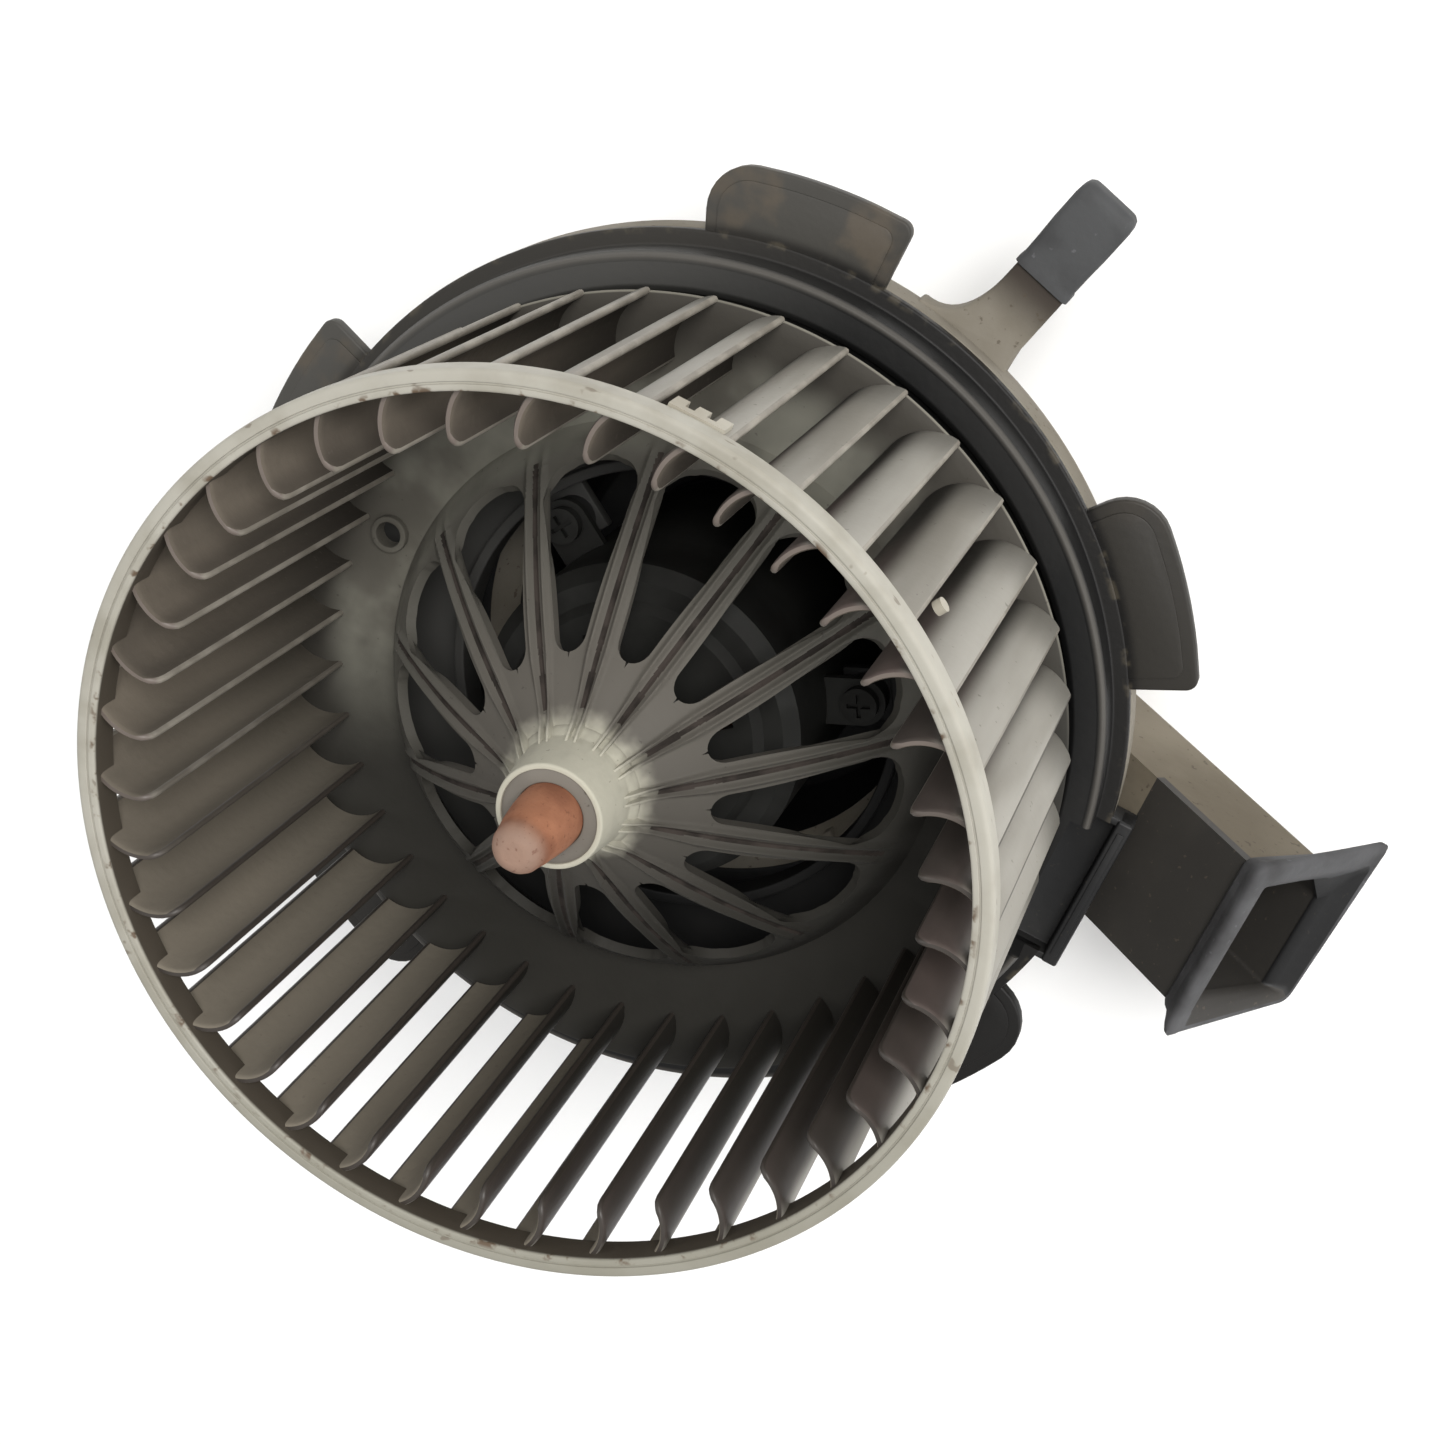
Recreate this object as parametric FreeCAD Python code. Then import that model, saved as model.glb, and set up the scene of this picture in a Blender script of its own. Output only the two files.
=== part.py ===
import FreeCAD, Part
import math
import os

# Vehicle cabin blower: a forward-curved fan wheel on a brushed motor, carried by a bayonet flange
# and closed at the back by a housing with a cooling duct.
# Frame: millimetres, +Z along the shaft towards the air intake, Z = 0 on the flange's seating face,
# +X towards the cooling duct.

Vector = FreeCAD.Vector
Z_AXIS = Vector(0, 0, 1)
OUT_DIR = "parts"

# ---- fan wheel ----
WHEEL_R = 76.0
RING_INNER_R = 72.6
RING_BACK_Z = 76.7
RING_SKIRT_R = 75.2
RING_SKIRT_Z = 75.4
RING_FRONT_Z = 81.2
BLADE_COUNT = 39
BLADE_FIRST_DEG = 2.97
BLADE_INNER_R = 64.2
BLADE_OUTER_R = 75.2
BLADE_SWEEP_DEG = -5.35
BLADE_CAMBER_R = 8.7
BLADE_THICK = 1.3
BLADE_FRONT_Z = 79.4
REAR_DISC_R = 75.2
REAR_DISC_Z = (10.4, 12.4)
SPOKE_COUNT = 13
SLOT_FIRST_DEG = 126.35
SLOT_INNER_R = 21.5
SLOT_OUTER_R = 48.0
SLOT_INNER_END_R = 3.0
SLOT_CORNER_R = 4.4
SLOT_HALF_WIDTH = 8.6
HUB_FACE_Z = 65.3
HUB_FACE_R = 9.1
HUB_BASE_R = 10.4
HUB_BASE_Z = 54.0
HUB_BACK_Z = 44.0
INSERT_R = 8.3
BOSS_R = 58.7
BOSS_DEG = 178.5
BOSS_OUTER_R = 3.5
BOSS_HOLE_R = 2.4

# ---- shaft and motor ----
SHAFT_R = 4.0
CAP_R = 5.7
CAP_Z = (40.0, 80.0)
CAN_R = 30.0
CAN_WALL = 1.6
CAN_Z = (-34.0, 25.0)
FRONT_BOSS_R = 9.0
FRONT_BOSS_Z = 34.0
END_BELL_Z = -37.0
REAR_BOSS_Z = -44.5
BEARING_R = 7.0
FRONT_BEARING_Z = (26.0, 33.0)
REAR_BEARING_Z = (-43.0, -36.0)
BEARING_GAP = 0.04
CORE_R = 23.4
CORE_Z = (-12.0, 14.0)
CORE_SLOTS = 12
MAGNET_R = (24.4, 28.4)
COMMUTATOR_R = 10.0
COMMUTATOR_Z = (-31.0, -19.5)
BRUSH_Z = -25.0
BRUSH_WIDTH = 6.0
BRUSH_HEIGHT = 5.0
BRUSH_SPAN = (10.1, 18.5)
BRUSH_PLATE_Z = (-33.6, -31.6)
BRUSH_HOLDER_SPAN = (11.6, 26.0)
BRUSH_DEGS = (90.0, 270.0)
LUG_DEGS = (30.0, 150.0, 270.0)
LUG_R = 36.5

# ---- flange ----
FLANGE_R = 84.0
SPIGOT_R = 81.0
SPIGOT_TOP_Z = 7.0
RIDGE_R = 80.3
RING_STEP_R = 74.0
PLATE_Z = (-1.5, 1.0)
PLATE_INNER_R = 42.0
SKIRT_Z = -2.0
# Bayonet tabs: centre angle, outer radius, radius of the large corner.
TABS = ((43.4, 96.0, 8.0), (101.9, 96.0, 8.0), (174.7, 93.8, 8.0), (244.8, 96.0, 8.0), (-25.4, 95.2, 10.0))
TAB_Z = (-3.2, -0.4)
TAB_HALF_DEG = 11.4
TAB_SMALL_CORNER = 2.2
POCKET_DEG = 3.95
POCKET_X = (75.8, 83.6)
POCKET_HALF = 15.0
POCKET_FLOOR_Z = -4.0
POCKET_WALL = 3.05
POCKET_WALL_HALF = 16.4
POCKET_WALL_TOP_Z = -0.1

# ---- rear housing ----
COVER_RIM_BOTTOM_Z = -9.2
COVER_BACK_Z = -50.0
COVER_WALL = 2.5
CUP_R = 43.0
COVER_SCREW_R = 68.0
BOSS_LOW_Z = -11.8
COVER_SCREW_DEGS = (20.0, 140.0, 200.0, 300.0)
ARM_DEG = 77.5
ARM_TIP_R = 116.4
ARM_HALF_WIDTH = 5.2
ARM_Z = (-12.0, -6.5)
ARM_SWEEP = (14.5, 8.6)
ARM_HEEL = (6.0, 1.2)
SLEEVE_R_SPAN = (99.5, 117.8)
SLEEVE_WALL = 0.8

# ---- cooling duct: a tilted rectangular tube ----
DUCT_ROOT = Vector(86.5, 0, -9.0)
DUCT_TILT_DEG = 38.0
DUCT_TURN_DEG = 4.6
DUCT_Y = (-2.0, 29.6)
DUCT_DEPTH = 27.0
DUCT_WALL = 2.0
DUCT_BACK = 75.0
DUCT_END = 27.0
DUCT_PLATE_START = 0.6
DUCT_CHAMFER = 7.0
COLLAR_SPAN = (25.5, 30.5)
COLLAR_WALL = 1.6
COLLAR_LIP = 2.7
COLLAR_LIP_CORNER_R = 1.8

# ---- connector on the rear housing ----
CONNECTOR_DEG = -90.0
CONNECTOR_X = (43.4, 61.0)
CONNECTOR_HALF_Y = 8.5
CONNECTOR_Z = (-42.0, -29.0)
CONNECTOR_WALL = 1.6
TERMINAL_OFFSET_Y = 3.6


def polar(radius, degrees, z=0.0):
    """Point at a radius and an angle about the shaft."""
    angle = math.radians(degrees)
    return Vector(radius * math.cos(angle), radius * math.sin(angle), z)


def disc(radius, z_low, z_high):
    return Part.makeCylinder(radius, z_high - z_low, Vector(0, 0, z_low))


def tube(r_out, r_in, z_low, z_high):
    return disc(r_out, z_low, z_high).cut(disc(r_in, z_low - 1, z_high + 1))


def cyl_at(radius, x, y, z_low, z_high):
    return Part.makeCylinder(radius, z_high - z_low, Vector(x, y, z_low))


def block(x_span, y_span, z_span):
    """Box from three (low, high) spans."""
    low = Vector(x_span[0], y_span[0], z_span[0])
    return Part.makeBox(x_span[1] - x_span[0], y_span[1] - y_span[0], z_span[1] - z_span[0], low)


def turned(shape, degrees):
    """Copy of a shape turned about the shaft."""
    copy = shape.copy()
    copy.rotate(Vector(0, 0, 0), Z_AXIS, degrees)
    return copy


def around(shape, count, first=0.0):
    """Equal copies of a shape round the shaft."""
    return [turned(shape, first + 360.0 / count * k) for k in range(count)]


def revolve(profile):
    """Solid of revolution from (radius, z) corners."""
    corners = [Vector(r, 0, z) for r, z in profile]
    face = Part.Face(Part.makePolygon(corners + corners[:1]))
    return face.revolve(Vector(0, 0, 0), Z_AXIS, 360)


def prism(edges, z_low, z_high):
    """Extrude a closed loop of edges drawn in the XY plane."""
    face = Part.Face(Part.Wire(edges))
    solid = face.extrude(Vector(0, 0, z_high - z_low))
    solid.translate(Vector(0, 0, z_low))
    return solid


def polygon_prism(points, z_low, z_high):
    corners = [Vector(x, y, 0) for x, y in points]
    solid = Part.Face(Part.makePolygon(corners + corners[:1])).extrude(Vector(0, 0, z_high - z_low))
    solid.translate(Vector(0, 0, z_low))
    return solid


def line(start, end):
    return Part.LineSegment(start, end).toShape()


def arc(start, middle, end):
    return Part.Arc(start, middle, end).toShape()


def fuse(shapes):
    joined = shapes[0].multiFuse(list(shapes[1:])) if len(shapes) > 1 else shapes[0]
    return joined.removeSplitter()


def export(name, shapes):
    """Write one node: one solid, or several separate solids of the same piece."""
    parts = shapes if isinstance(shapes, list) else [shapes]
    solids = [solid for part in parts for solid in part.Solids]
    for solid in solids:
        if not solid.isValid() or solid.Volume <= 0:
            print("bad solid in", name)
    result = solids[0] if len(solids) == 1 else Part.makeCompound(solids)
    result.exportStep(os.path.join(OUT_DIR, name + ".step"))
    box = result.BoundBox
    print(f"{name:22s} {len(solids):3d} solids  {result.Volume / 1000:8.2f} cm3"
          f"  z {box.ZMin:7.2f} {box.ZMax:7.2f}")


# ---- fan wheel ----

def slot_cutter():
    """Teardrop opening between two spokes, drawn about +X."""
    inner = Vector(SLOT_INNER_R + SLOT_INNER_END_R, 0, 0)
    corner_y = SLOT_HALF_WIDTH - SLOT_CORNER_R
    corner_r = SLOT_OUTER_R - SLOT_CORNER_R
    half = math.degrees(math.asin(corner_y / corner_r))
    corner = polar(corner_r, half)
    run = corner - inner
    lean = math.atan2(run.y, run.x) + math.acos((SLOT_INNER_END_R - SLOT_CORNER_R) / run.Length)
    side = Vector(math.cos(lean), math.sin(lean), 0)
    inner_touch = inner + side * SLOT_INNER_END_R
    outer_touch = corner + side * SLOT_CORNER_R
    tip_touch = polar(SLOT_OUTER_R, half)
    bend = (side + polar(1, half)).normalize()
    corner_mid = corner + bend * SLOT_CORNER_R

    def mirror(point):
        return Vector(point.x, -point.y, 0)

    edges = [
        arc(mirror(inner_touch), Vector(SLOT_INNER_R, 0, 0), inner_touch),
        line(inner_touch, outer_touch),
        arc(outer_touch, corner_mid, tip_touch),
        arc(tip_touch, Vector(SLOT_OUTER_R, 0, 0), mirror(tip_touch)),
        arc(mirror(tip_touch), mirror(corner_mid), mirror(outer_touch)),
        line(mirror(outer_touch), mirror(inner_touch)),
    ]
    return prism(edges, 0, HUB_FACE_Z)


def wheel_web():
    """Hub, domed spider with teardrop slots, and the flat rear disc that carries the blades."""
    disc_low, disc_high = REAR_DISC_Z
    top = [Vector(HUB_BASE_R, 0, HUB_BASE_Z), Vector(30.0, 0, 38.7), Vector(50.0, 0, 18.2)]
    under = [Vector(48.0, 0, 16.2), Vector(28.4, 0, 36.7), Vector(HUB_BASE_R, 0, 50.6)]
    edges = [
        line(Vector(INSERT_R, 0, HUB_BACK_Z), Vector(INSERT_R, 0, HUB_FACE_Z)),
        line(Vector(INSERT_R, 0, HUB_FACE_Z), Vector(HUB_FACE_R, 0, HUB_FACE_Z)),
        line(Vector(HUB_FACE_R, 0, HUB_FACE_Z), top[0]),
        arc(*top),
        line(top[2], Vector(53.0, 0, disc_high)),
        line(Vector(53.0, 0, disc_high), Vector(REAR_DISC_R, 0, disc_high)),
        line(Vector(REAR_DISC_R, 0, disc_high), Vector(REAR_DISC_R, 0, disc_low)),
        line(Vector(REAR_DISC_R, 0, disc_low), Vector(51.6, 0, disc_low)),
        line(Vector(51.6, 0, disc_low), under[0]),
        arc(*under),
        line(under[2], Vector(HUB_BASE_R, 0, HUB_BACK_Z)),
        line(Vector(HUB_BASE_R, 0, HUB_BACK_Z), Vector(INSERT_R, 0, HUB_BACK_Z)),
    ]
    body = Part.Face(Part.Wire(edges)).revolve(Vector(0, 0, 0), Z_AXIS, 360)
    body = body.cut(Part.makeCompound(around(slot_cutter(), SPOKE_COUNT, SLOT_FIRST_DEG)))
    boss_at = polar(BOSS_R, BOSS_DEG)
    boss = cyl_at(BOSS_OUTER_R, boss_at.x, boss_at.y, disc_low, disc_high + 1.6)
    hole = cyl_at(BOSS_HOLE_R, boss_at.x, boss_at.y, disc_low - 1, disc_high + 3)
    return body.fuse(boss).cut(hole).removeSplitter()


def blade():
    """One forward-curved blade: a constant-thickness circular arc from the inner to the outer edge."""
    inner = polar(BLADE_INNER_R, 0)
    outer = polar(BLADE_OUTER_R, BLADE_SWEEP_DEG)
    chord = outer - inner
    rise = math.sqrt(BLADE_CAMBER_R ** 2 - (chord.Length / 2) ** 2)
    normal = Vector(chord.y, -chord.x, 0).normalize()
    centre = (inner + outer) * 0.5 + normal * rise
    start = (inner - centre).normalize()
    end = (outer - centre).normalize()
    middle = (start + end).normalize()
    r_out = BLADE_CAMBER_R + BLADE_THICK / 2
    r_in = BLADE_CAMBER_R - BLADE_THICK / 2
    edges = [
        arc(centre + start * r_out, centre + middle * r_out, centre + end * r_out),
        line(centre + end * r_out, centre + end * r_in),
        arc(centre + end * r_in, centre + middle * r_in, centre + start * r_in),
        line(centre + start * r_in, centre + start * r_out),
    ]
    body = prism(edges, REAR_DISC_Z[1], BLADE_FRONT_Z)
    ring_space = tube(WHEEL_R + 5, RING_INNER_R, RING_SKIRT_Z, RING_FRONT_Z)
    rim_trim = tube(WHEEL_R + 5, BLADE_OUTER_R, 0, RING_FRONT_Z)
    return body.cut(ring_space).cut(rim_trim)


def intake_ring():
    """Front ring that ties the blade ends together, with a short skirt and a groove round its outer wall."""
    groove_z = (RING_BACK_Z + RING_FRONT_Z) / 2
    body = revolve([
        (RING_INNER_R, RING_SKIRT_Z), (RING_SKIRT_R, RING_SKIRT_Z), (RING_SKIRT_R, RING_BACK_Z),
        (WHEEL_R, RING_BACK_Z), (WHEEL_R, RING_FRONT_Z), (RING_INNER_R, RING_FRONT_Z),
    ])
    groove = tube(WHEEL_R + 1, WHEEL_R - 0.4, groove_z - 0.4, groove_z + 0.4)
    return body.cut(groove)


def balance_clips():
    """Comb-shaped balance weight behind the ring, and a small plug weight further round."""
    seat_r = BLADE_OUTER_R + 0.05
    depth = (seat_r, seat_r + 1.1)
    comb = block(depth, (-4.5, 4.5), (RING_BACK_Z - 1.6, RING_BACK_Z))
    teeth = [block(depth, (y - 1.0, y + 1.0), (RING_BACK_Z - 4.2, RING_BACK_Z - 1.5))
             for y in (-3.5, 0.0, 3.5)]
    plug = Part.makeCylinder(1.2, 1.5, Vector(seat_r, 0, 66.0), Vector(1, 0, 0))
    return [turned(fuse([comb] + teeth), 94.0), turned(plug, 60.6)]


def make_wheel():
    export("fan_wheel_web", wheel_web())
    export("fan_wheel_blades", around(blade(), BLADE_COUNT, BLADE_FIRST_DEG))
    export("fan_wheel_ring", intake_ring())
    export("balance_clips", balance_clips())
    export("hub_insert", tube(INSERT_R, CAP_R, HUB_BACK_Z, HUB_FACE_Z - 0.5))


# ---- rotor inside the motor ----

def nose_cap():
    """Steel sleeve pressed on the shaft, with a bullet nose that leads the wheel on."""
    low, high = CAP_Z
    edges = [
        line(Vector(0, 0, low), Vector(CAP_R, 0, low)),
        line(Vector(CAP_R, 0, low), Vector(CAP_R, 0, HUB_FACE_Z + 1.5)),
        line(Vector(CAP_R, 0, HUB_FACE_Z + 1.5), Vector(4.5, 0, high - 3.0)),
        arc(Vector(4.5, 0, high - 3.0), Vector(3.6, 0, high - 0.9), Vector(1.8, 0, high)),
        line(Vector(1.8, 0, high), Vector(0, 0, high)),
        line(Vector(0, 0, high), Vector(0, 0, low)),
    ]
    body = Part.Face(Part.Wire(edges)).revolve(Vector(0, 0, 0), Z_AXIS, 360)
    return body.cut(disc(SHAFT_R, low - 1, 73.0))


def armature_core():
    """Lamination stack with slots for the windings."""
    low, high = CORE_Z
    body = tube(CORE_R, SHAFT_R, low, high)
    slot = block((12.0, 21.0), (-2.0, 2.0), (low - 1, high + 1))
    mouth = block((20.5, CORE_R + 1), (-0.7, 0.7), (low - 1, high + 1))
    cutter = slot.fuse(mouth)
    return body.cut(Part.makeCompound(around(cutter, CORE_SLOTS)))


def armature_windings():
    """Copper: one bar through every slot, joined by an end turn at each face of the core."""
    low, high = CORE_Z
    bars = around(block((12.4, 20.6), (-1.7, 1.7), (low - 0.5, high + 0.5)), CORE_SLOTS)
    front = revolve([(8.0, high + 0.5), (21.0, high + 0.5), (19.5, high + 4.5), (10.0, high + 6.0)])
    rear = revolve([(8.0, low - 0.5), (10.0, low - 6.0), (19.5, low - 4.5), (21.0, low - 0.5)])
    return fuse([front, rear] + bars)


def commutator():
    """Copper bars round a moulded core, with slits between the bars."""
    low, high = COMMUTATOR_Z
    body = tube(COMMUTATOR_R, SHAFT_R, low, high)
    slit = block((COMMUTATOR_R - 0.7, COMMUTATOR_R + 1), (-0.25, 0.25), (low - 1, high + 1))
    return body.cut(Part.makeCompound(around(slit, CORE_SLOTS, 180.0 / CORE_SLOTS)))


def make_rotor():
    shaft = disc(SHAFT_R, REAR_BEARING_Z[0] - 1.0, 73.0)
    export("motor_shaft", shaft)
    export("shaft_nose_cap", nose_cap())
    export("armature_core", armature_core())
    export("armature_windings", armature_windings())
    export("commutator", commutator())
    washers = [tube(6.5, SHAFT_R, 23.0, 24.6), tube(6.5, SHAFT_R, -34.4, -33.6)]
    export("thrust_washers", washers)


# ---- motor stator ----

def motor_can():
    """Deep-drawn steel can: open at the rear, bearing boss in front, three mounting lugs."""
    low, high = CAN_Z
    inner_r = CAN_R - CAN_WALL
    profile = [
        (inner_r, low), (CAN_R, low), (CAN_R, high - 2.5), (CAN_R - 2.5, high), (24.0, high),
        (22.5, high + 1.8), (FRONT_BOSS_R + 2.0, high + 1.8), (FRONT_BOSS_R, high + 3.5),
        (FRONT_BOSS_R, FRONT_BOSS_Z), (5.2, FRONT_BOSS_Z), (5.2, FRONT_BEARING_Z[1]),
        (BEARING_R, FRONT_BEARING_Z[1]), (BEARING_R, high), (20.9, high), (22.4, high - CAN_WALL),
        (inner_r - 1.2, high - CAN_WALL), (inner_r, high - CAN_WALL - 1.2),
    ]
    body = revolve(profile)
    lug = block((CAN_R - 0.8, LUG_R), (-4.5, 4.5), (4.0, 5.6)).fuse(cyl_at(4.5, LUG_R, 0, 4.0, 5.6))
    lug = lug.cut(cyl_at(1.9, LUG_R, 0, 3, 7))
    lugs = [turned(lug, angle) for angle in LUG_DEGS]
    vent = block((14.0, 19.0), (-3.0, 3.0), (high - 3, high + 3))
    return fuse([body] + lugs).cut(Part.makeCompound(around(vent, 4, 45.0)))


def end_bell():
    """Pressed rear cap of the motor with the rear bearing boss."""
    profile = [
        (5.2, REAR_BOSS_Z), (9.0, REAR_BOSS_Z), (9.0, END_BELL_Z), (CAN_R, END_BELL_Z), (CAN_R, CAN_Z[0]),
        (9.0, CAN_Z[0]), (BEARING_R, CAN_Z[0] - 1.0), (BEARING_R, REAR_BEARING_Z[0]),
        (5.2, REAR_BEARING_Z[0]),
    ]
    return revolve(profile)


def magnets():
    """Two arc magnets on the can's inner wall."""
    r_in, r_out = MAGNET_R
    body = tube(r_out, r_in, CORE_Z[0] - 3, CORE_Z[1] + 3)
    gap = block((-40, 40), (-9, 9), (CORE_Z[0] - 4, CORE_Z[1] + 4))
    return body.cut(gap)


def magnet_clips():
    """Bent spring strips that wedge the magnets apart."""
    half = 8.0
    strips = []
    for side in (0.0, 180.0):
        strip = polygon_prism([(25.4, -half), (26.2, -half), (27.6, 0), (26.2, half), (25.4, half), (26.8, 0)],
                              CORE_Z[0] + 2, CORE_Z[1] - 2)
        strips.append(turned(strip, side))
    return strips


def bearing(z_span):
    return tube(BEARING_R, SHAFT_R + BEARING_GAP, *z_span)


def bearing_retainer(z_low, z_high):
    """Spring ring that holds a bearing in its boss."""
    return tube(BEARING_R, 5.0, z_low, z_high)


def brush_plate():
    """Moulded card that carries the brush gear."""
    body = tube(CAN_R - CAN_WALL - 0.1, 12.5, *BRUSH_PLATE_Z)
    return body


def brush_holder():
    """Open-ended brass box, drawn about +X."""
    low_z = BRUSH_PLATE_Z[1]
    top_z = BRUSH_Z + BRUSH_HEIGHT / 2 + 1.0
    outer = block(BRUSH_HOLDER_SPAN, (-BRUSH_WIDTH / 2 - 0.9, BRUSH_WIDTH / 2 + 0.9), (low_z, top_z))
    inner = block((BRUSH_HOLDER_SPAN[0] - 1, BRUSH_HOLDER_SPAN[1] - 0.8),
                  (-BRUSH_WIDTH / 2 - 0.08, BRUSH_WIDTH / 2 + 0.08),
                  (BRUSH_Z - BRUSH_HEIGHT / 2 - 0.08, BRUSH_Z + BRUSH_HEIGHT / 2 + 0.08))
    return outer.cut(inner)


def brush():
    """Carbon block with a face hollowed to the commutator's radius."""
    body = block((BRUSH_SPAN[0] - 0.4, BRUSH_SPAN[1]), (-BRUSH_WIDTH / 2, BRUSH_WIDTH / 2),
                 (BRUSH_Z - BRUSH_HEIGHT / 2, BRUSH_Z + BRUSH_HEIGHT / 2))
    return body.cut(disc(COMMUTATOR_R + 0.1, -40, 0))


def brush_spring():
    """Coil spring behind a brush, drawn as the coil's outer sleeve."""
    spring = Part.makeCylinder(2.1, BRUSH_HOLDER_SPAN[1] - 0.8 - BRUSH_SPAN[1],
                               Vector(BRUSH_SPAN[1], 0, BRUSH_Z), Vector(1, 0, 0))
    hollow = Part.makeCylinder(1.5, 10, Vector(BRUSH_SPAN[1] - 1, 0, BRUSH_Z), Vector(1, 0, 0))
    return spring.cut(hollow)


def make_motor():
    export("motor_can", motor_can())
    export("motor_end_bell", end_bell())
    export("motor_magnets", magnets())
    export("magnet_clips", magnet_clips())
    export("front_bearing", bearing(FRONT_BEARING_Z))
    export("rear_bearing", bearing(REAR_BEARING_Z))
    export("bearing_retainers", [bearing_retainer(25.0, 26.0), bearing_retainer(-36.0, -35.0)])
    export("brush_plate", brush_plate())
    export("brush_holders", [turned(brush_holder(), angle) for angle in BRUSH_DEGS])
    for label, angle in zip(("a", "b"), BRUSH_DEGS):
        export("brush_" + label, turned(brush(), angle))
        export("brush_spring_" + label, turned(brush_spring(), angle))
    choke = Part.makeCylinder(2.2, 12.0, Vector(18.0, -6.0, -29.0), Vector(0, 1, 0))
    export("suppression_chokes", [turned(choke, angle) for angle in (0.0, 180.0)])
    capacitor = polygon_prism([(12.5, -3.5), (15.2, -3.5), (15.2, 3.5), (12.5, 3.5)],
                              BRUSH_PLATE_Z[1], BRUSH_PLATE_Z[1] + 6.5)
    export("capacitor", turned(capacitor, 180.0))
    grommet = cyl_at(4.2, LUG_R, 0, PLATE_Z[1], 4.0).cut(cyl_at(1.9, LUG_R, 0, 0, 5))
    export("isolator_grommets", [turned(grommet, angle) for angle in LUG_DEGS])
    screw = cyl_at(1.8, LUG_R, 0, PLATE_Z[0] - 3.5, 5.6).fuse(cyl_at(3.4, LUG_R, 0, 5.6, 7.8))
    recess = block((LUG_R - 0.4, LUG_R + 0.4), (-2.2, 2.2), (6.8, 9))
    screw = screw.cut(recess).cut(turned_about(recess, LUG_R, 90.0))
    export("motor_screws", [turned(screw, angle) for angle in LUG_DEGS])


def turned_about(shape, x, degrees):
    """Copy turned about a vertical line through (x, 0)."""
    copy = shape.copy()
    copy.rotate(Vector(x, 0, 0), Z_AXIS, degrees)
    return copy


# ---- flange ----

def tab(degrees, outer_r, big_corner):
    """Bayonet tab: a ring sector with one large and one small rounded corner."""
    low, high = TAB_Z
    r_in = FLANGE_R - 2.0

    def corner(radius, angle, side):
        """Centre and end points of a corner arc that touches the outer edge and the tab's end."""
        inset = math.degrees(math.asin(radius / (outer_r - radius)))
        centre = polar(outer_r - radius, angle - side * inset)
        on_edge = polar(outer_r, angle - side * inset)
        along_end = polar(1, angle).dot(centre)
        on_end = polar(along_end, angle)
        bend = ((on_edge - centre) + (on_end - centre)).normalize()
        return on_end, centre + bend * radius, on_edge

    big = corner(big_corner, TAB_HALF_DEG, 1)
    small = corner(TAB_SMALL_CORNER, -TAB_HALF_DEG, -1)
    start = polar(r_in, -TAB_HALF_DEG)
    end = polar(r_in, TAB_HALF_DEG)
    edges = [
        line(start, small[0]),
        arc(small[0], small[1], small[2]),
        arc(small[2], polar(outer_r, -1.5), big[2]),
        arc(big[2], big[1], big[0]),
        line(big[0], end),
        arc(end, polar(r_in, 0), start),
    ]
    return turned(prism(edges, low, high), degrees)


def pocket_block():
    """Block that the latch pocket is sunk into, with a straight outer wall."""
    body = block((POCKET_X[0] - 1.8, POCKET_X[1] + POCKET_WALL), (-POCKET_WALL_HALF, POCKET_WALL_HALF),
                 (POCKET_FLOOR_Z - 2, POCKET_WALL_TOP_Z))
    return turned(body, POCKET_DEG)


def mounting_flange():
    """Plate with a raised centring ring, bayonet tabs, motor fingers and the latch pocket."""
    plate_low, plate_high = PLATE_Z
    ring_top = SPIGOT_TOP_Z
    body = revolve([
        (PLATE_INNER_R, plate_low), (76.4, plate_low), (76.4, 4.6), (78.8, 4.6), (78.8, SKIRT_Z),
        (FLANGE_R, SKIRT_Z), (FLANGE_R, 0), (SPIGOT_R, 0), (SPIGOT_R, 6.2), (RIDGE_R, ring_top),
        (RING_STEP_R + 0.8, ring_top), (RING_STEP_R, 6.2), (RING_STEP_R, plate_high),
        (PLATE_INNER_R, plate_high),
    ])
    collar = tube(PLATE_INNER_R + 2.0, PLATE_INNER_R, plate_high - 0.5, 5.0)
    finger = block((LUG_R - 4.6, PLATE_INNER_R + 1), (-5.0, 5.0), (plate_low, plate_high))
    fingers = [turned(finger, angle) for angle in LUG_DEGS]
    bosses = [turned(cyl_at(4.0, COVER_SCREW_R, 0, BOSS_LOW_Z, plate_low + 0.5), angle)
              for angle in COVER_SCREW_DEGS]
    pocket = turned(block(POCKET_X, (-POCKET_HALF, POCKET_HALF), (POCKET_FLOOR_Z, ring_top + 2)), POCKET_DEG)
    holes = [turned(cyl_at(1.8, LUG_R, 0, plate_low - 1, plate_high + 1), angle) for angle in LUG_DEGS]
    threads = [turned(cyl_at(1.5, COVER_SCREW_R, 0, -13.0, -3.0), angle) for angle in COVER_SCREW_DEGS]
    solid = fuse([body, collar, pocket_block()] + fingers + bosses + [tab(*numbers) for numbers in TABS])
    return solid.cut(Part.makeCompound([pocket] + holes + threads)).removeSplitter()


# ---- rear housing, arm and duct ----

def duct_place(shape):
    """Move a shape drawn in the duct's own frame: X along it, Y across it, Z out of its front face."""
    copy = shape.copy()
    copy.rotate(Vector(0, 0, 0), Vector(0, 1, 0), -DUCT_TILT_DEG)
    copy.rotate(Vector(0, 0, 0), Z_AXIS, DUCT_TURN_DEG)
    copy.translate(DUCT_ROOT)
    return copy


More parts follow.
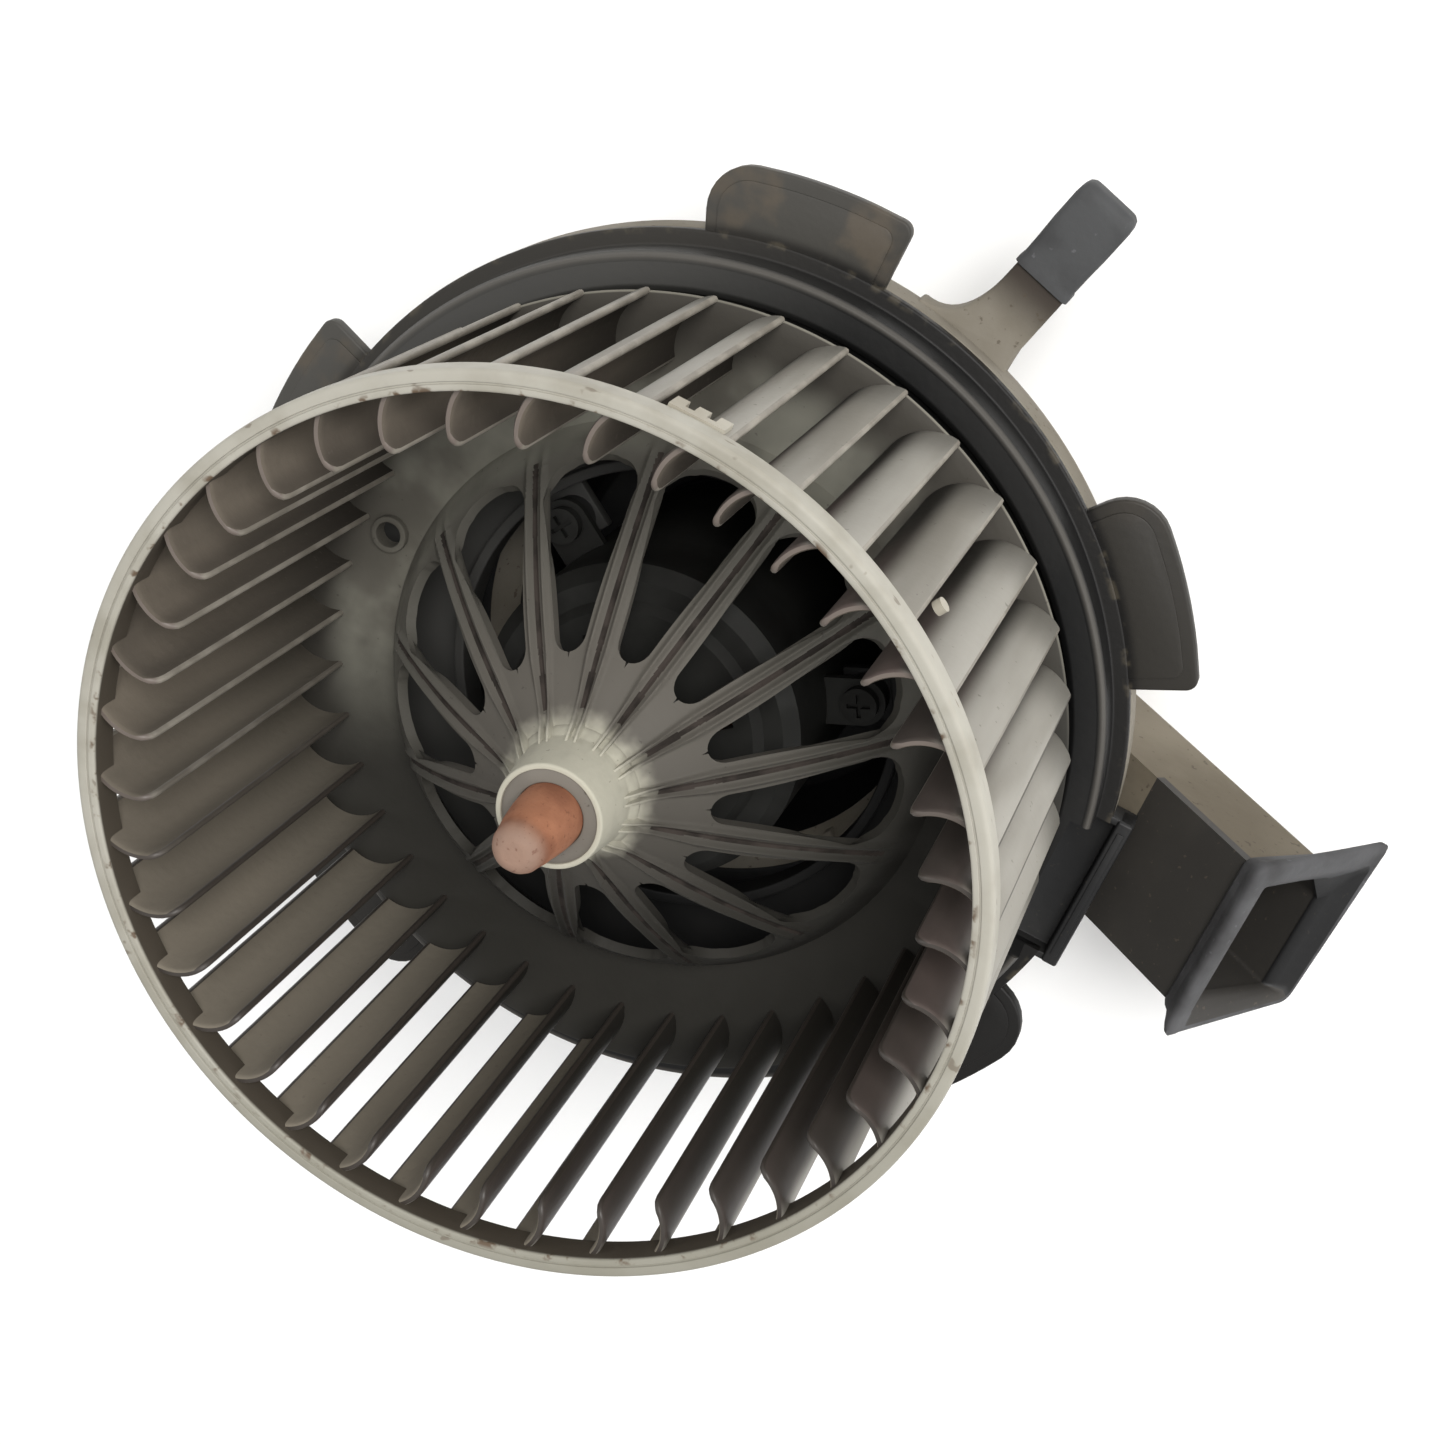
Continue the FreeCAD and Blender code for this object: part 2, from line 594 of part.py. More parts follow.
def duct_section(inset):
    """Duct outline in its own YZ plane, inset from the outer wall, with one rear corner cut off."""
    y_low, y_high = DUCT_Y[0] + inset, DUCT_Y[1] - inset
    z_high, z_low = -inset, -DUCT_DEPTH + inset
    cut = DUCT_CHAMFER - 0.4 * inset
    return [(y_low, z_high), (y_high, z_high), (y_high, z_low + cut), (y_high - cut, z_low), (y_low, z_low)]


def duct_bar(inset, x_low, x_high):
    """Solid bar of the duct's outline between two stations along it."""
    corners = [Vector(x_low, y, z) for y, z in duct_section(inset)]
    return Part.Face(Part.makePolygon(corners + corners[:1])).extrude(Vector(x_high - x_low, 0, 0))


def duct_envelope(inset, back, end):
    """Placed duct bar, trimmed where it meets the cup and the plane the part stands on."""
    bar = duct_place(duct_bar(inset, back, end))
    floor = COVER_BACK_Z + inset
    keep = block((30, 160), (-60, 80), (floor, 60))
    return bar.common(keep)


def cover_floor_z(radius):
    """Height of the dish's outer surface at a radius."""
    return -20.0 + (radius - 48.0) * 7.5 / 33.0


def cover_outer_profile():
    return [(0, COVER_BACK_Z), (CUP_R - 3.0, COVER_BACK_Z), (CUP_R, COVER_BACK_Z + 3.0),
            (CUP_R + 1.5, -24.0), (48.0, -20.0), (81.0, -12.5), (FLANGE_R, COVER_RIM_BOTTOM_Z),
            (FLANGE_R, SKIRT_Z), (0, SKIRT_Z)]


def cover_inner_profile():
    return [(0, COVER_BACK_Z + COVER_WALL), (CUP_R - 4.2, COVER_BACK_Z + COVER_WALL),
            (CUP_R - COVER_WALL, COVER_BACK_Z + 4.2), (CUP_R - 1.0, -23.0), (46.5, -17.4),
            (80.0, -10.0), (FLANGE_R - COVER_WALL, -8.2), (FLANGE_R - COVER_WALL, 1.0), (0, 1.0)]


def arm():
    """Radial stop arm drawn about +X: a wide sweep into the rim on one side, a small heel on the other."""
    low, high = ARM_Z
    root = FLANGE_R - COVER_WALL
    near = root + 2.0
    half = ARM_HALF_WIDTH
    reach, foot = ARM_SWEEP
    heel_run, heel = ARM_HEEL
    edges = [
        line(Vector(root, -half - heel, 0), Vector(root, half + foot, 0)),
        line(Vector(root, half + foot, 0), Vector(near, half + foot, 0)),
        arc(Vector(near, half + foot, 0), Vector(near + 0.3 * reach, half + 0.3 * foot, 0),
            Vector(near + reach, half, 0)),
        line(Vector(near + reach, half, 0), Vector(ARM_TIP_R, half, 0)),
        line(Vector(ARM_TIP_R, half, 0), Vector(ARM_TIP_R, -half, 0)),
        line(Vector(ARM_TIP_R, -half, 0), Vector(root + heel_run, -half, 0)),
        line(Vector(root + heel_run, -half, 0), Vector(root, -half - heel, 0)),
    ]
    web = prism(edges, low, high)
    return turned(web, ARM_DEG)


def rear_cover():
    """Dish and motor cup, with the rim under the flange, the stop arm and stiffening ribs."""
    outer = revolve(cover_outer_profile())
    inner = revolve(cover_inner_profile())
    rib = block((CUP_R - 1.0, 74.0), (-1.0, 1.0), (-34.0, -13.0))
    rib_trim = polygon_prism([(30, -45), (30, -70), (110, -70), (110, 7)], -2, 2)
    rib_trim.rotate(Vector(0, 0, 0), Vector(1, 0, 0), 90)
    rib = rib.cut(rib_trim)
    ribs = [turned(rib, angle) for angle in (60.0, 100.0, 160.0, 220.0, 250.0, 330.0)]
    ribs = [piece.cut(inner) for piece in ribs]
    shell = outer.cut(inner)
    window = duct_envelope(DUCT_WALL, -DUCT_BACK, 0).common(disc(CUP_R + 6, -50, -24))
    screw_holes = [turned(cyl_at(1.7, COVER_SCREW_R, 0, -25, 0), angle) for angle in COVER_SCREW_DEGS]
    tab_notches = [tab_notch(numbers[0]) for numbers in TABS]
    body = fuse([shell, arm()] + ribs)
    duct_seat = duct_envelope(0, -DUCT_BACK, DUCT_END).common(disc(200, COVER_BACK_Z, 20))
    outside = duct_seat.cut(revolve(cover_outer_profile()))
    body = body.cut(Part.makeCompound([window] + screw_holes + tab_notches))
    body = body.cut(outside).cut(flange_pocket_space()).cut(connector_space())
    return largest(body.removeSplitter())


def flange_pocket_space():
    """Room in the rim for the flange's latch pocket."""
    space = block((POCKET_X[0] - 1.9, POCKET_X[1] + POCKET_WALL + 5),
                  (-POCKET_WALL_HALF - 0.1, POCKET_WALL_HALF + 0.1), (POCKET_FLOOR_Z - 2.1, 5))
    return turned(space, POCKET_DEG)


def tab_notch(degrees):
    """Room in the rim for a bayonet tab's root."""
    half = TAB_HALF_DEG + 0.2
    notch = tube(FLANGE_R + 2, FLANGE_R - 4, TAB_Z[0] - 0.1, 0)
    wedge = polygon_prism([(0, 0), (200 * math.cos(math.radians(half)), 200 * math.sin(math.radians(half))),
                           (200 * math.cos(math.radians(half)), -200 * math.sin(math.radians(half)))], -10, 10)
    return turned(notch.common(wedge), degrees)


def largest(shape):
    return max(shape.Solids, key=lambda solid: solid.Volume)


def duct_shell():
    """Whole duct tube outside the rear cover."""
    outer = duct_envelope(0, -DUCT_BACK, DUCT_END)
    inner = duct_envelope(DUCT_WALL, -DUCT_BACK - 5, DUCT_END + 5)
    shell = outer.cut(inner).cut(revolve(cover_outer_profile()))
    return shell.cut(flange_keepout())


def flange_keepout():
    """Space above the rear cover that belongs to the flange, its pocket and its tabs."""
    pocket = turned(block((60, POCKET_X[1] + POCKET_WALL + 0.1),
                          (-POCKET_WALL_HALF - 0.2, POCKET_WALL_HALF + 0.2), (POCKET_FLOOR_Z - 2.2, 20)),
                    POCKET_DEG)
    return disc(FLANGE_R + 0.1, SKIRT_Z, 20).fuse(pocket)


def duct_halves():
    """The duct splits along its front face: a front plate beyond the rim and a channel behind it."""
    shell = duct_shell()
    front_slab = duct_place(block((DUCT_PLATE_START, 60), (-30, 60), (-DUCT_WALL, 5)))
    return largest(shell.common(front_slab)), largest(shell.cut(front_slab))


def duct_collar():
    """Rubber lip on the duct's mouth: a short cuff round the duct and a wider, square-cornered front edge."""
    low, high = COLLAR_SPAN
    lip_start = high - 2.4
    cuff = duct_bar(-COLLAR_WALL, low, high)
    lip = block((lip_start, high), (DUCT_Y[0] - COLLAR_LIP, DUCT_Y[1] + COLLAR_LIP),
                (-DUCT_DEPTH - COLLAR_LIP, COLLAR_LIP))
    along = [edge for edge in lip.Edges if edge.BoundBox.XLength > 1]
    lip = lip.makeFillet(COLLAR_LIP_CORNER_R, along)
    bore = duct_bar(0, low - 1, DUCT_END)
    mouth = duct_bar(DUCT_WALL, DUCT_END - 1, high + 1)
    return duct_place(cuff.fuse(lip).cut(bore).cut(mouth).removeSplitter())


def arm_sleeve():
    """Rubber cap over the end of the stop arm, with rounded outer corners."""
    low, high = SLEEVE_R_SPAN
    half = ARM_HALF_WIDTH + SLEEVE_WALL
    z_span = (ARM_Z[0] - SLEEVE_WALL, ARM_Z[1] + SLEEVE_WALL)
    outer = block((low, high), (-half, half), z_span)
    upright = [edge for edge in outer.Edges
               if edge.BoundBox.ZLength > 1 and edge.CenterOfMass.x > high - 0.1]
    outer = outer.makeFillet(2.4, upright)
    bore = block((low - 1, ARM_TIP_R), (-ARM_HALF_WIDTH, ARM_HALF_WIDTH), ARM_Z)
    return turned(outer.cut(bore), ARM_DEG)


def connector_space():
    """Room in the cup wall for the connector shell."""
    space = block((CONNECTOR_X[0] - 6, CONNECTOR_X[0] + 4), (-CONNECTOR_HALF_Y, CONNECTOR_HALF_Y), CONNECTOR_Z)
    return turned(space, CONNECTOR_DEG)


def connector_shell():
    """Two-way plug socket, open outwards."""
    x_low, x_high = CONNECTOR_X
    wall = CONNECTOR_WALL
    half = CONNECTOR_HALF_Y
    body = block((x_low - 4.0, x_high), (-half, half), CONNECTOR_Z)
    cavity = block((x_low + 3.0, x_high + 1), (-half + wall, half - wall),
                   (CONNECTOR_Z[0] + wall, CONNECTOR_Z[1] - wall))
    key = block((x_low + 3.0, x_high), (-1.2, 1.2), (CONNECTOR_Z[1] - wall - 1.0, CONNECTOR_Z[1] - wall))
    slots = [block((x_low - 5, x_low + 4), (y - 0.45, y + 0.45), (-38.6, -32.4))
             for y in (-TERMINAL_OFFSET_Y, TERMINAL_OFFSET_Y)]
    shell = body.cut(cavity).fuse(key).cut(Part.makeCompound(slots))
    return turned(shell, CONNECTOR_DEG)


def connector_terminals():
    """Flat blade terminals through the socket's base."""
    x_low, x_high = CONNECTOR_X
    blades = [block((x_low - 6.0, x_high - 4.0), (y - 0.4, y + 0.4), (-38.5, -32.5))
              for y in (-TERMINAL_OFFSET_Y, TERMINAL_OFFSET_Y)]
    return [turned(piece, CONNECTOR_DEG) for piece in blades]


def motor_leads():
    """Two short insulated leads from the motor's end bell straight across to the connector."""
    start_x = CAN_R + 0.1
    length = CONNECTOR_X[0] - 6.0 - start_x
    leads = [Part.makeCylinder(1.1, length, Vector(start_x, y, -35.5), Vector(1, 0, 0))
             for y in (-TERMINAL_OFFSET_Y, TERMINAL_OFFSET_Y)]
    return [turned(lead, CONNECTOR_DEG) for lead in leads]


def cover_screws():
    """Screws from behind the dish into the flange's bosses."""
    head_top = cover_floor_z(COVER_SCREW_R) + 0.2
    shank = cyl_at(1.5, COVER_SCREW_R, 0, head_top - 1.0, -4.0)
    head = cyl_at(3.3, COVER_SCREW_R, 0, head_top - 3.4, head_top - 1.0)
    recess = block((COVER_SCREW_R - 2.0, COVER_SCREW_R + 2.0), (-0.4, 0.4), (head_top - 5, head_top - 2.4))
    screw = shank.fuse(head).cut(recess).cut(turned_about(recess, COVER_SCREW_R, 90.0))
    return [turned(screw, angle) for angle in COVER_SCREW_DEGS]


def make_housing():
    export("mounting_flange", mounting_flange())
    export("rear_cover", rear_cover())
    front, rear = duct_halves()
    export("duct_front_plate", front)
    export("duct_rear_channel", rear)
    export("duct_seal_collar", duct_collar())
    export("arm_rubber_sleeve", arm_sleeve())
    export("connector_shell", connector_shell())
    export("connector_terminals", connector_terminals())
    export("motor_leads", motor_leads())
    export("cover_screws", cover_screws())


os.makedirs(OUT_DIR, exist_ok=True)
make_wheel()
make_rotor()
make_motor()
make_housing()
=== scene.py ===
import math

import bmesh
import bpy
from mathutils import Matrix, Vector, noise


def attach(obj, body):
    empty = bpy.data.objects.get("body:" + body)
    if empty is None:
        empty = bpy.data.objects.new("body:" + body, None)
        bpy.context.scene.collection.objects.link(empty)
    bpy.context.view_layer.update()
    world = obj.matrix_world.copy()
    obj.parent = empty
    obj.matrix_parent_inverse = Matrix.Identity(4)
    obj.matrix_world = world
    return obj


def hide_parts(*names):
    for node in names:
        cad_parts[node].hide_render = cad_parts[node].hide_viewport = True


# Vehicle cabin blower: the detailed wheel, flange, housing, duct and rubber pieces, with dusty materials.
# Sizes are in millimetres and turn into metres in make_mesh.

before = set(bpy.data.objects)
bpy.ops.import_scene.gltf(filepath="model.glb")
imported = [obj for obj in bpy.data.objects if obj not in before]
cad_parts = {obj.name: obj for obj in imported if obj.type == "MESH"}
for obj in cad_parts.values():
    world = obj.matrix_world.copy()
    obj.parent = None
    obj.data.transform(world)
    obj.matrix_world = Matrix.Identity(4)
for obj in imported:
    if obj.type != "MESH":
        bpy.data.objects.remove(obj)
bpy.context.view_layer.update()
MM = 0.001
TONE = 0.55

# ---- fan wheel ----
BLADE_COUNT = 39
BLADE_FIRST_DEG = 2.97
BLADE_INNER_R = 64.2
BLADE_OUTER_R = 75.2
BLADE_SWEEP_DEG = -5.35
BLADE_CAMBER_R = 8.7
BLADE_Z = (12.1, 79.4)
RING_R = (72.6, 76.0)
RING_Z = (75.4, 81.2)
SPOKE_COUNT = 13
SLOT_FIRST_DEG = 126.35
SLOT_INNER = (24.5, 3.0)
SLOT_CORNER = (43.6, 4.4)
SLOT_OUTER_R = 48.0
SLOT_CLOSE_R = 48.7
DOME_POINTS = ((10.4, 54.0), (30.0, 38.7), (50.0, 18.2))
DISC_TOP_Z = 12.4
DISC_R = 75.3
WEB_THICK = 1.9
BOSS_AT = (58.7, 178.5)
BOSS_HOLE_R = 2.4
FIN_STATIONS = ((9.9, 3.4, 0.34), (11.2, 2.5, 0.36), (13.0, 1.5, 0.38), (16.0, 0.9, 0.36))
FIN_PROFILE = ((-1.0, 2.6), (-0.55, 0.12), (0.0, 0.0), (0.55, 0.12), (1.0, 2.6))
HUB_FACE_Z = 65.3

# ---- flange and housing ----
FLANGE_R = 84.0
TABS = ((43.4, 96.0, 8.0), (101.9, 96.0, 8.0), (174.7, 93.8, 8.0), (244.8, 96.0, 8.0), (-25.4, 95.2, 10.0))
TAB_Z = (-3.2, -0.4)
TAB_HALF_DEG = 11.4
POCKET_DEG = 3.95
POCKET_X = (75.8, 83.6)
POCKET_HALF = 15.0
POCKET_WALL_X = 86.65
POCKET_WALL_HALF = 16.4
ARM_DEG = 77.5
ARM_Z = (-12.0, -6.5)
ARM_HALF = 5.2
SLEEVE_R = (99.5, 117.8)
COVER_RIM_Z = -9.2
CUP_R = 43.0
COVER_BACK_Z = -50.0
MOTOR_LUG_DEG = (30.0, 150.0, 270.0)
RIB_DEG = (60.0, 100.0, 160.0, 220.0, 250.0, 330.0)

# ---- duct ----
DUCT_ROOT = Vector((86.5, 0, -9.0))
DUCT_TILT_DEG = 38.0
DUCT_TURN_DEG = 4.6
DUCT_Y = (-2.0, 29.6)
DUCT_DEPTH = 27.0
DUCT_CHAMFER = 7.0
DUCT_WALL = 2.0


# ---- small helpers ----

def srgb(red, green, blue):
    """Surface colour from the 0-255 display values it should reach under this scene's bright light."""
    def linear(value):
        value = value / 255
        return TONE * (value / 12.92 if value <= 0.04045 else ((value + 0.055) / 1.055) ** 2.4)
    return (linear(red), linear(green), linear(blue), 1.0)


def smoothstep(low, high, value):
    t = min(1.0, max(0.0, (value - low) / (high - low)))
    return t * t * (3 - 2 * t)


def polar(radius, degrees, z=0.0):
    angle = math.radians(degrees)
    return Vector((radius * math.cos(angle), radius * math.sin(angle), z))


def turned(points, degrees):
    turn = Matrix.Rotation(math.radians(degrees), 3, "Z")
    return [turn @ Vector(point) for point in points]


def filleted(corners, steps=4):
    """Closed outline through (x, y, fillet) corners, each rounded by its own fillet."""
    outline = []
    count = len(corners)
    for index, (x, y, fillet) in enumerate(corners):
        here = Vector((x, y))
        back = Vector(corners[index - 1][:2]) - here
        on = Vector(corners[(index + 1) % count][:2]) - here
        if fillet <= 0:
            outline.append(here)
            continue
        reach = fillet / math.tan(back.angle(on) / 2)
        reach = min(reach, 0.49 * back.length, 0.49 * on.length)
        start = here + back.normalized() * reach
        end = here + on.normalized() * reach
        for k in range(steps + 1):
            t = k / steps
            outline.append(start * (1 - t) ** 2 + here * (2 * t * (1 - t)) + end * t * t)
    return outline


# ---- mesh builders ----

def make_mesh(name, verts, faces, materials, face_materials=None):
    mesh = bpy.data.meshes.new(name)
    mesh.from_pydata([Vector(vert) * MM for vert in verts], [], faces)
    for material in materials:
        mesh.materials.append(material)
    if face_materials:
        mesh.polygons.foreach_set("material_index", face_materials)
    obj = bpy.data.objects.new(name, mesh)
    bpy.context.scene.collection.objects.link(obj)
    return obj


def clean(obj, weld=0.01):
    """Weld doubled vertices and turn all faces outwards."""
    work = bmesh.new()
    work.from_mesh(obj.data)
    bmesh.ops.remove_doubles(work, verts=work.verts, dist=weld * MM)
    bmesh.ops.dissolve_degenerate(work, dist=0.001 * MM, edges=work.edges)
    bmesh.ops.recalc_face_normals(work, faces=work.faces)
    work.to_mesh(obj.data)
    work.free()
    return obj


def applied(obj):
    """Bake an object's modifiers into its mesh."""
    graph = bpy.context.evaluated_depsgraph_get()
    mesh = bpy.data.meshes.new_from_object(obj.evaluated_get(graph))
    obj.modifiers.clear()
    obj.data = mesh
    return obj


def bevelled(obj, width, segments=2):
    bevel = obj.modifiers.new("edges", "BEVEL")
    bevel.width = width * MM
    bevel.segments = segments
    bevel.limit_method = "ANGLE"
    bevel.angle_limit = math.radians(35)
    return applied(obj)


def cut(obj, tool):
    """Take a tool's shape out of an object and remove the tool."""
    step = obj.modifiers.new("cut", "BOOLEAN")
    step.operation = "DIFFERENCE"
    step.solver = "EXACT"
    step.object = tool
    applied(obj)
    bpy.data.objects.remove(tool)


def joined(name, objects):
    """One object from several, keeping each one's materials."""
    materials = []
    work = bmesh.new()
    for obj in objects:
        mesh = obj.data
        remap = []
        for material in mesh.materials:
            if material not in materials:
                materials.append(material)
            remap.append(materials.index(material))
        first = len(work.faces)
        work.from_mesh(mesh)
        work.faces.ensure_lookup_table()
        for face in work.faces[first:]:
            face.material_index = remap[face.material_index] if remap else 0
        bpy.data.objects.remove(obj)
    mesh = bpy.data.meshes.new(name)
    work.to_mesh(mesh)
    work.free()
    for material in materials:
        mesh.materials.append(material)
    result = bpy.data.objects.new(name, mesh)
    bpy.context.scene.collection.objects.link(result)
    return result


def piece(obj, body, nodes=(), sharp=38):
    """Smooth an object and hand it to the frame."""
    obj.data.shade_smooth()
    obj.data.set_sharp_from_angle(angle=math.radians(sharp))
    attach(obj, body)
    if nodes:
        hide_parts(*nodes)
    return obj


def loft(name, rings, materials, closed=True, pick=None):
    """Skin over rings of equal point counts; closed joins the last ring to the first."""
    count = len(rings[0])
    verts = [point for ring in rings for point in ring]
    faces = []
    chosen = []
    last = len(rings) if closed else len(rings) - 1
    for row in range(last):
        near = row * count
        far = (row + 1) % len(rings) * count
        for k in range(count):
            following = (k + 1) % count
            faces.append((near + k, near + following, far + following, far + k))
            chosen.append(pick(row, k) if pick else 0)
    if not closed:
        faces.append(tuple(reversed(range(count))))
        faces.append(tuple(range((len(rings) - 1) * count, len(rings) * count)))
        chosen += [chosen[0], chosen[-1]]
    return clean(make_mesh(name, verts, faces, materials, chosen))


def lathe(name, outline, materials, segments=180, pick=None):
    """Solid of revolution of a closed (radius, z) outline; pick(r, z) gives a face's material index."""
    rings = [[polar(max(r, 0.0), 360 * step / segments, z) for r, z in outline] for step in range(segments)]
    kinds = []
    for (r0, z0), (r1, z1) in zip(outline, outline[1:] + outline[:1]):
        kinds.append(pick((r0 + r1) / 2, (z0 + z1) / 2) if pick else 0)
    return loft(name, rings, materials, pick=lambda row, k: kinds[k])


def prism(name, outline, z_low, z_high, materials):
    rings = [[(p[0], p[1], z) for p in outline] for z in (z_low, z_high)]
    return loft(name, rings, materials, closed=False)


def block(name, x_span, y_span, z_span, materials, degrees=0.0):
    """Box that is turned about the shaft; used for cutting and as a rough body before bevelling."""
    (x0, x1), (y0, y1) = x_span, y_span
    outline = [(x0, y0, 0), (x1, y0, 0), (x1, y1, 0), (x0, y1, 0)]
    return prism(name, turned(outline, degrees), z_span[0], z_span[1], materials)


# ---- materials ----

class Paint:
    """Builds one procedural material from masks and colours, in the object's own coordinates."""

    def __init__(self, name, roughness, metallic=0.0, specular=0.5):
        self.material = bpy.data.materials.new(name)
        self.material.use_nodes = True
        self.nodes = self.material.node_tree.nodes
        self.links = self.material.node_tree.links
        self.shader = self.nodes["Principled BSDF"]
        self.shader.inputs["Roughness"].default_value = roughness
        self.shader.inputs["Metallic"].default_value = metallic
        self.shader.inputs["Specular IOR Level"].default_value = specular
        self.coords = self.nodes.new("ShaderNodeTexCoord").outputs["Object"]

    def feed(self, socket, value):
        """Set or link an input; a colour of three numbers is in display values from 0 to 255."""
        if isinstance(value, bpy.types.NodeSocket):
            self.links.new(value, socket)
        elif isinstance(value, tuple) and len(value) == 3:
            socket.default_value = srgb(*value)
        else:
            socket.default_value = value

    def noise(self, scale, detail=4.0, stretch=(1.0, 1.0, 1.0)):
        place = self.nodes.new("ShaderNodeMapping")
        place.inputs["Scale"].default_value = stretch
        self.links.new(self.coords, place.inputs["Vector"])
        node = self.nodes.new("ShaderNodeTexNoise")
        node.inputs["Scale"].default_value = scale
        node.inputs["Detail"].default_value = detail
        self.links.new(place.outputs["Vector"], node.inputs["Vector"])
        return node.outputs["Fac"]

    def levels(self, value, low, high):
        """0 below low, 1 above high, smooth between; low may be the larger one."""
        node = self.nodes.new("ShaderNodeMapRange")
        node.interpolation_type = "SMOOTHSTEP"
        self.feed(node.inputs["Value"], value)
        flip = low > high
        node.inputs["From Min"].default_value = high if flip else low
        node.inputs["From Max"].default_value = low if flip else high
        node.inputs["To Min"].default_value = 1.0 if flip else 0.0
        node.inputs["To Max"].default_value = 0.0 if flip else 1.0
        return node.outputs["Result"]

    def math(self, operation, first, second=0.0):
        node = self.nodes.new("ShaderNodeMath")
        node.operation = operation
        self.feed(node.inputs[0], first)
        self.feed(node.inputs[1], second)
        return node.outputs["Value"]

    def times(self, first, second):
        return self.math("MULTIPLY", first, second)

    def mix(self, mask, first, second):
        node = self.nodes.new("ShaderNodeMix")
        node.data_type = "RGBA"
        self.feed(node.inputs[0], mask)
        self.feed(node.inputs[6], first)
        self.feed(node.inputs[7], second)
        return node.outputs[2]

    def stain(self, under, mask, amount, tone):
        """A colour with a stain of the given strength over it."""
        return self.mix(self.times(mask, amount), under, tone)

    def axis(self, letter):
        node = self.nodes.new("ShaderNodeSeparateXYZ")
        self.links.new(self.coords, node.inputs[0])
        return node.outputs[letter]

    def radius(self):
        """Distance from the shaft's axis, in metres."""
        x, y = self.axis("X"), self.axis("Y")
        return self.math("SQRT", self.math("ADD", self.times(x, x), self.times(y, y)))

    def lower_side(self, low, high):
        """0 to 1 over a span in mm across the wheel, towards the lower side in view; most materials use it
        to paint shade on that side.
        """
        across = self.math("SUBTRACT", self.times(self.axis("X"), 0.553), self.times(self.axis("Y"), 0.833))
        return self.levels(across, low * MM, high * MM)

    def colour(self, value):
        self.feed(self.shader.inputs["Base Color"], value)

    def flecks(self, scale, detail, low, high):
        """Spots where a noise is above a level."""
        return self.levels(self.noise(scale, detail), low, high)

    def finished(self, colour, grain, rough=None):
        """The material; grain is (scale, detail, depth in mm) and rough is (mask, low, high)."""
        self.colour(colour)
        if rough:
            node = self.nodes.new("ShaderNodeMapRange")
            self.feed(node.inputs["Value"], rough[0])
            node.inputs["To Min"].default_value = rough[1]
            node.inputs["To Max"].default_value = rough[2]
            self.links.new(node.outputs["Result"], self.shader.inputs["Roughness"])
        scale, detail, depth = grain
        node = self.nodes.new("ShaderNodeBump")
        node.inputs["Strength"].default_value = 0.6
        node.inputs["Distance"].default_value = depth * MM
        self.links.new(self.noise(scale, detail), node.inputs["Height"])
        self.links.new(node.outputs["Normal"], self.shader.inputs["Normal"])
        return self.material


def moulded(name, base, dust, grime, dust_level, roughness):
    """Moulded plastic with cloudy dust, small dark specks and a fine moulded grain."""
    paint = Paint(name, roughness, specular=0.4)
    cloud = paint.noise(38.0, 5.0)
    colour = paint.mix(paint.levels(cloud, dust_level - 0.12, dust_level + 0.16), base, dust)
    specks = paint.flecks(900.0, 2.0, 0.68, 0.75)
    colour = paint.mix(paint.times(specks, 0.7), colour, grime)
    return paint.finished(colour, (420.0, 3.0, 0.12), (cloud, roughness - 0.12, roughness + 0.14))


def wheel_outside():
    """Convex side of the blades: pale grey streaks outside, brown dust towards the inner edge, darkened by
    painted shade towards the rear and on the lower side.
    """
    paint = Paint("blade_outside", 0.55, specular=0.3)
    streaks = paint.noise(70.0, 4.0, (1.0, 1.0, 0.18))
    colour = paint.mix(paint.levels(streaks, 0.35, 0.68), (190, 186, 176), (154, 149, 138))
    foot = paint.levels(paint.axis("Z"), 0.034, 0.0135)
    colour = paint.stain(colour, foot, 0.75, (112, 109, 101))
    dust = paint.mix(paint.levels(streaks, 0.3, 0.7), (122, 108, 103), (92, 84, 79))
    # painted shade: the inner dust darkens towards the rear disc and on the lower side in view
    dust = paint.mix(paint.levels(paint.axis("Z"), 0.072, 0.03), dust, (62, 59, 54))
    dust = paint.stain(dust, paint.lower_side(10.0, 60.0), 0.6, (58, 55, 50))
    colour = paint.mix(paint.levels(paint.radius(), 0.0734, 0.0698), colour, dust)
    specks = paint.flecks(850.0, 2.0, 0.70, 0.76)
    colour = paint.stain(colour, specks, 0.5, (100, 90, 78))
    return paint.finished(colour, (300.0, 3.0, 0.1), (streaks, 0.42, 0.7))


def wheel_inside():
    """Concave side of the blades: a coat of brown dust, darker towards the inner edge, with painted shade
    towards the rear disc and painted light on the lower side, so palest in the middle of the belly.
    """
    paint = Paint("blade_inside", 0.9, specular=0.15)
    streaks = paint.noise(60.0, 5.0, (1.0, 1.0, 0.15))
    colour = paint.mix(paint.levels(streaks, 0.35, 0.7), (104, 96, 86), (132, 122, 109))
    edge = paint.levels(paint.radius(), 0.0695, 0.0645)
    colour = paint.stain(colour, edge, 0.5, (62, 57, 52))
    # painted shade towards the rear disc
    rear = paint.levels(paint.axis("Z"), 0.055, 0.014)
    colour = paint.stain(colour, rear, 0.75, (56, 52, 47))
    # painted light: the bellies lighten towards the lower side in view
    colour = paint.stain(colour, paint.lower_side(-45.0, 50.0), 0.5, (202, 192, 173))
    lint = paint.flecks(700.0, 3.0, 0.66, 0.74)
    colour = paint.stain(colour, lint, 0.3, (128, 118, 108))
    return paint.finished(colour, (500.0, 4.0, 0.25))


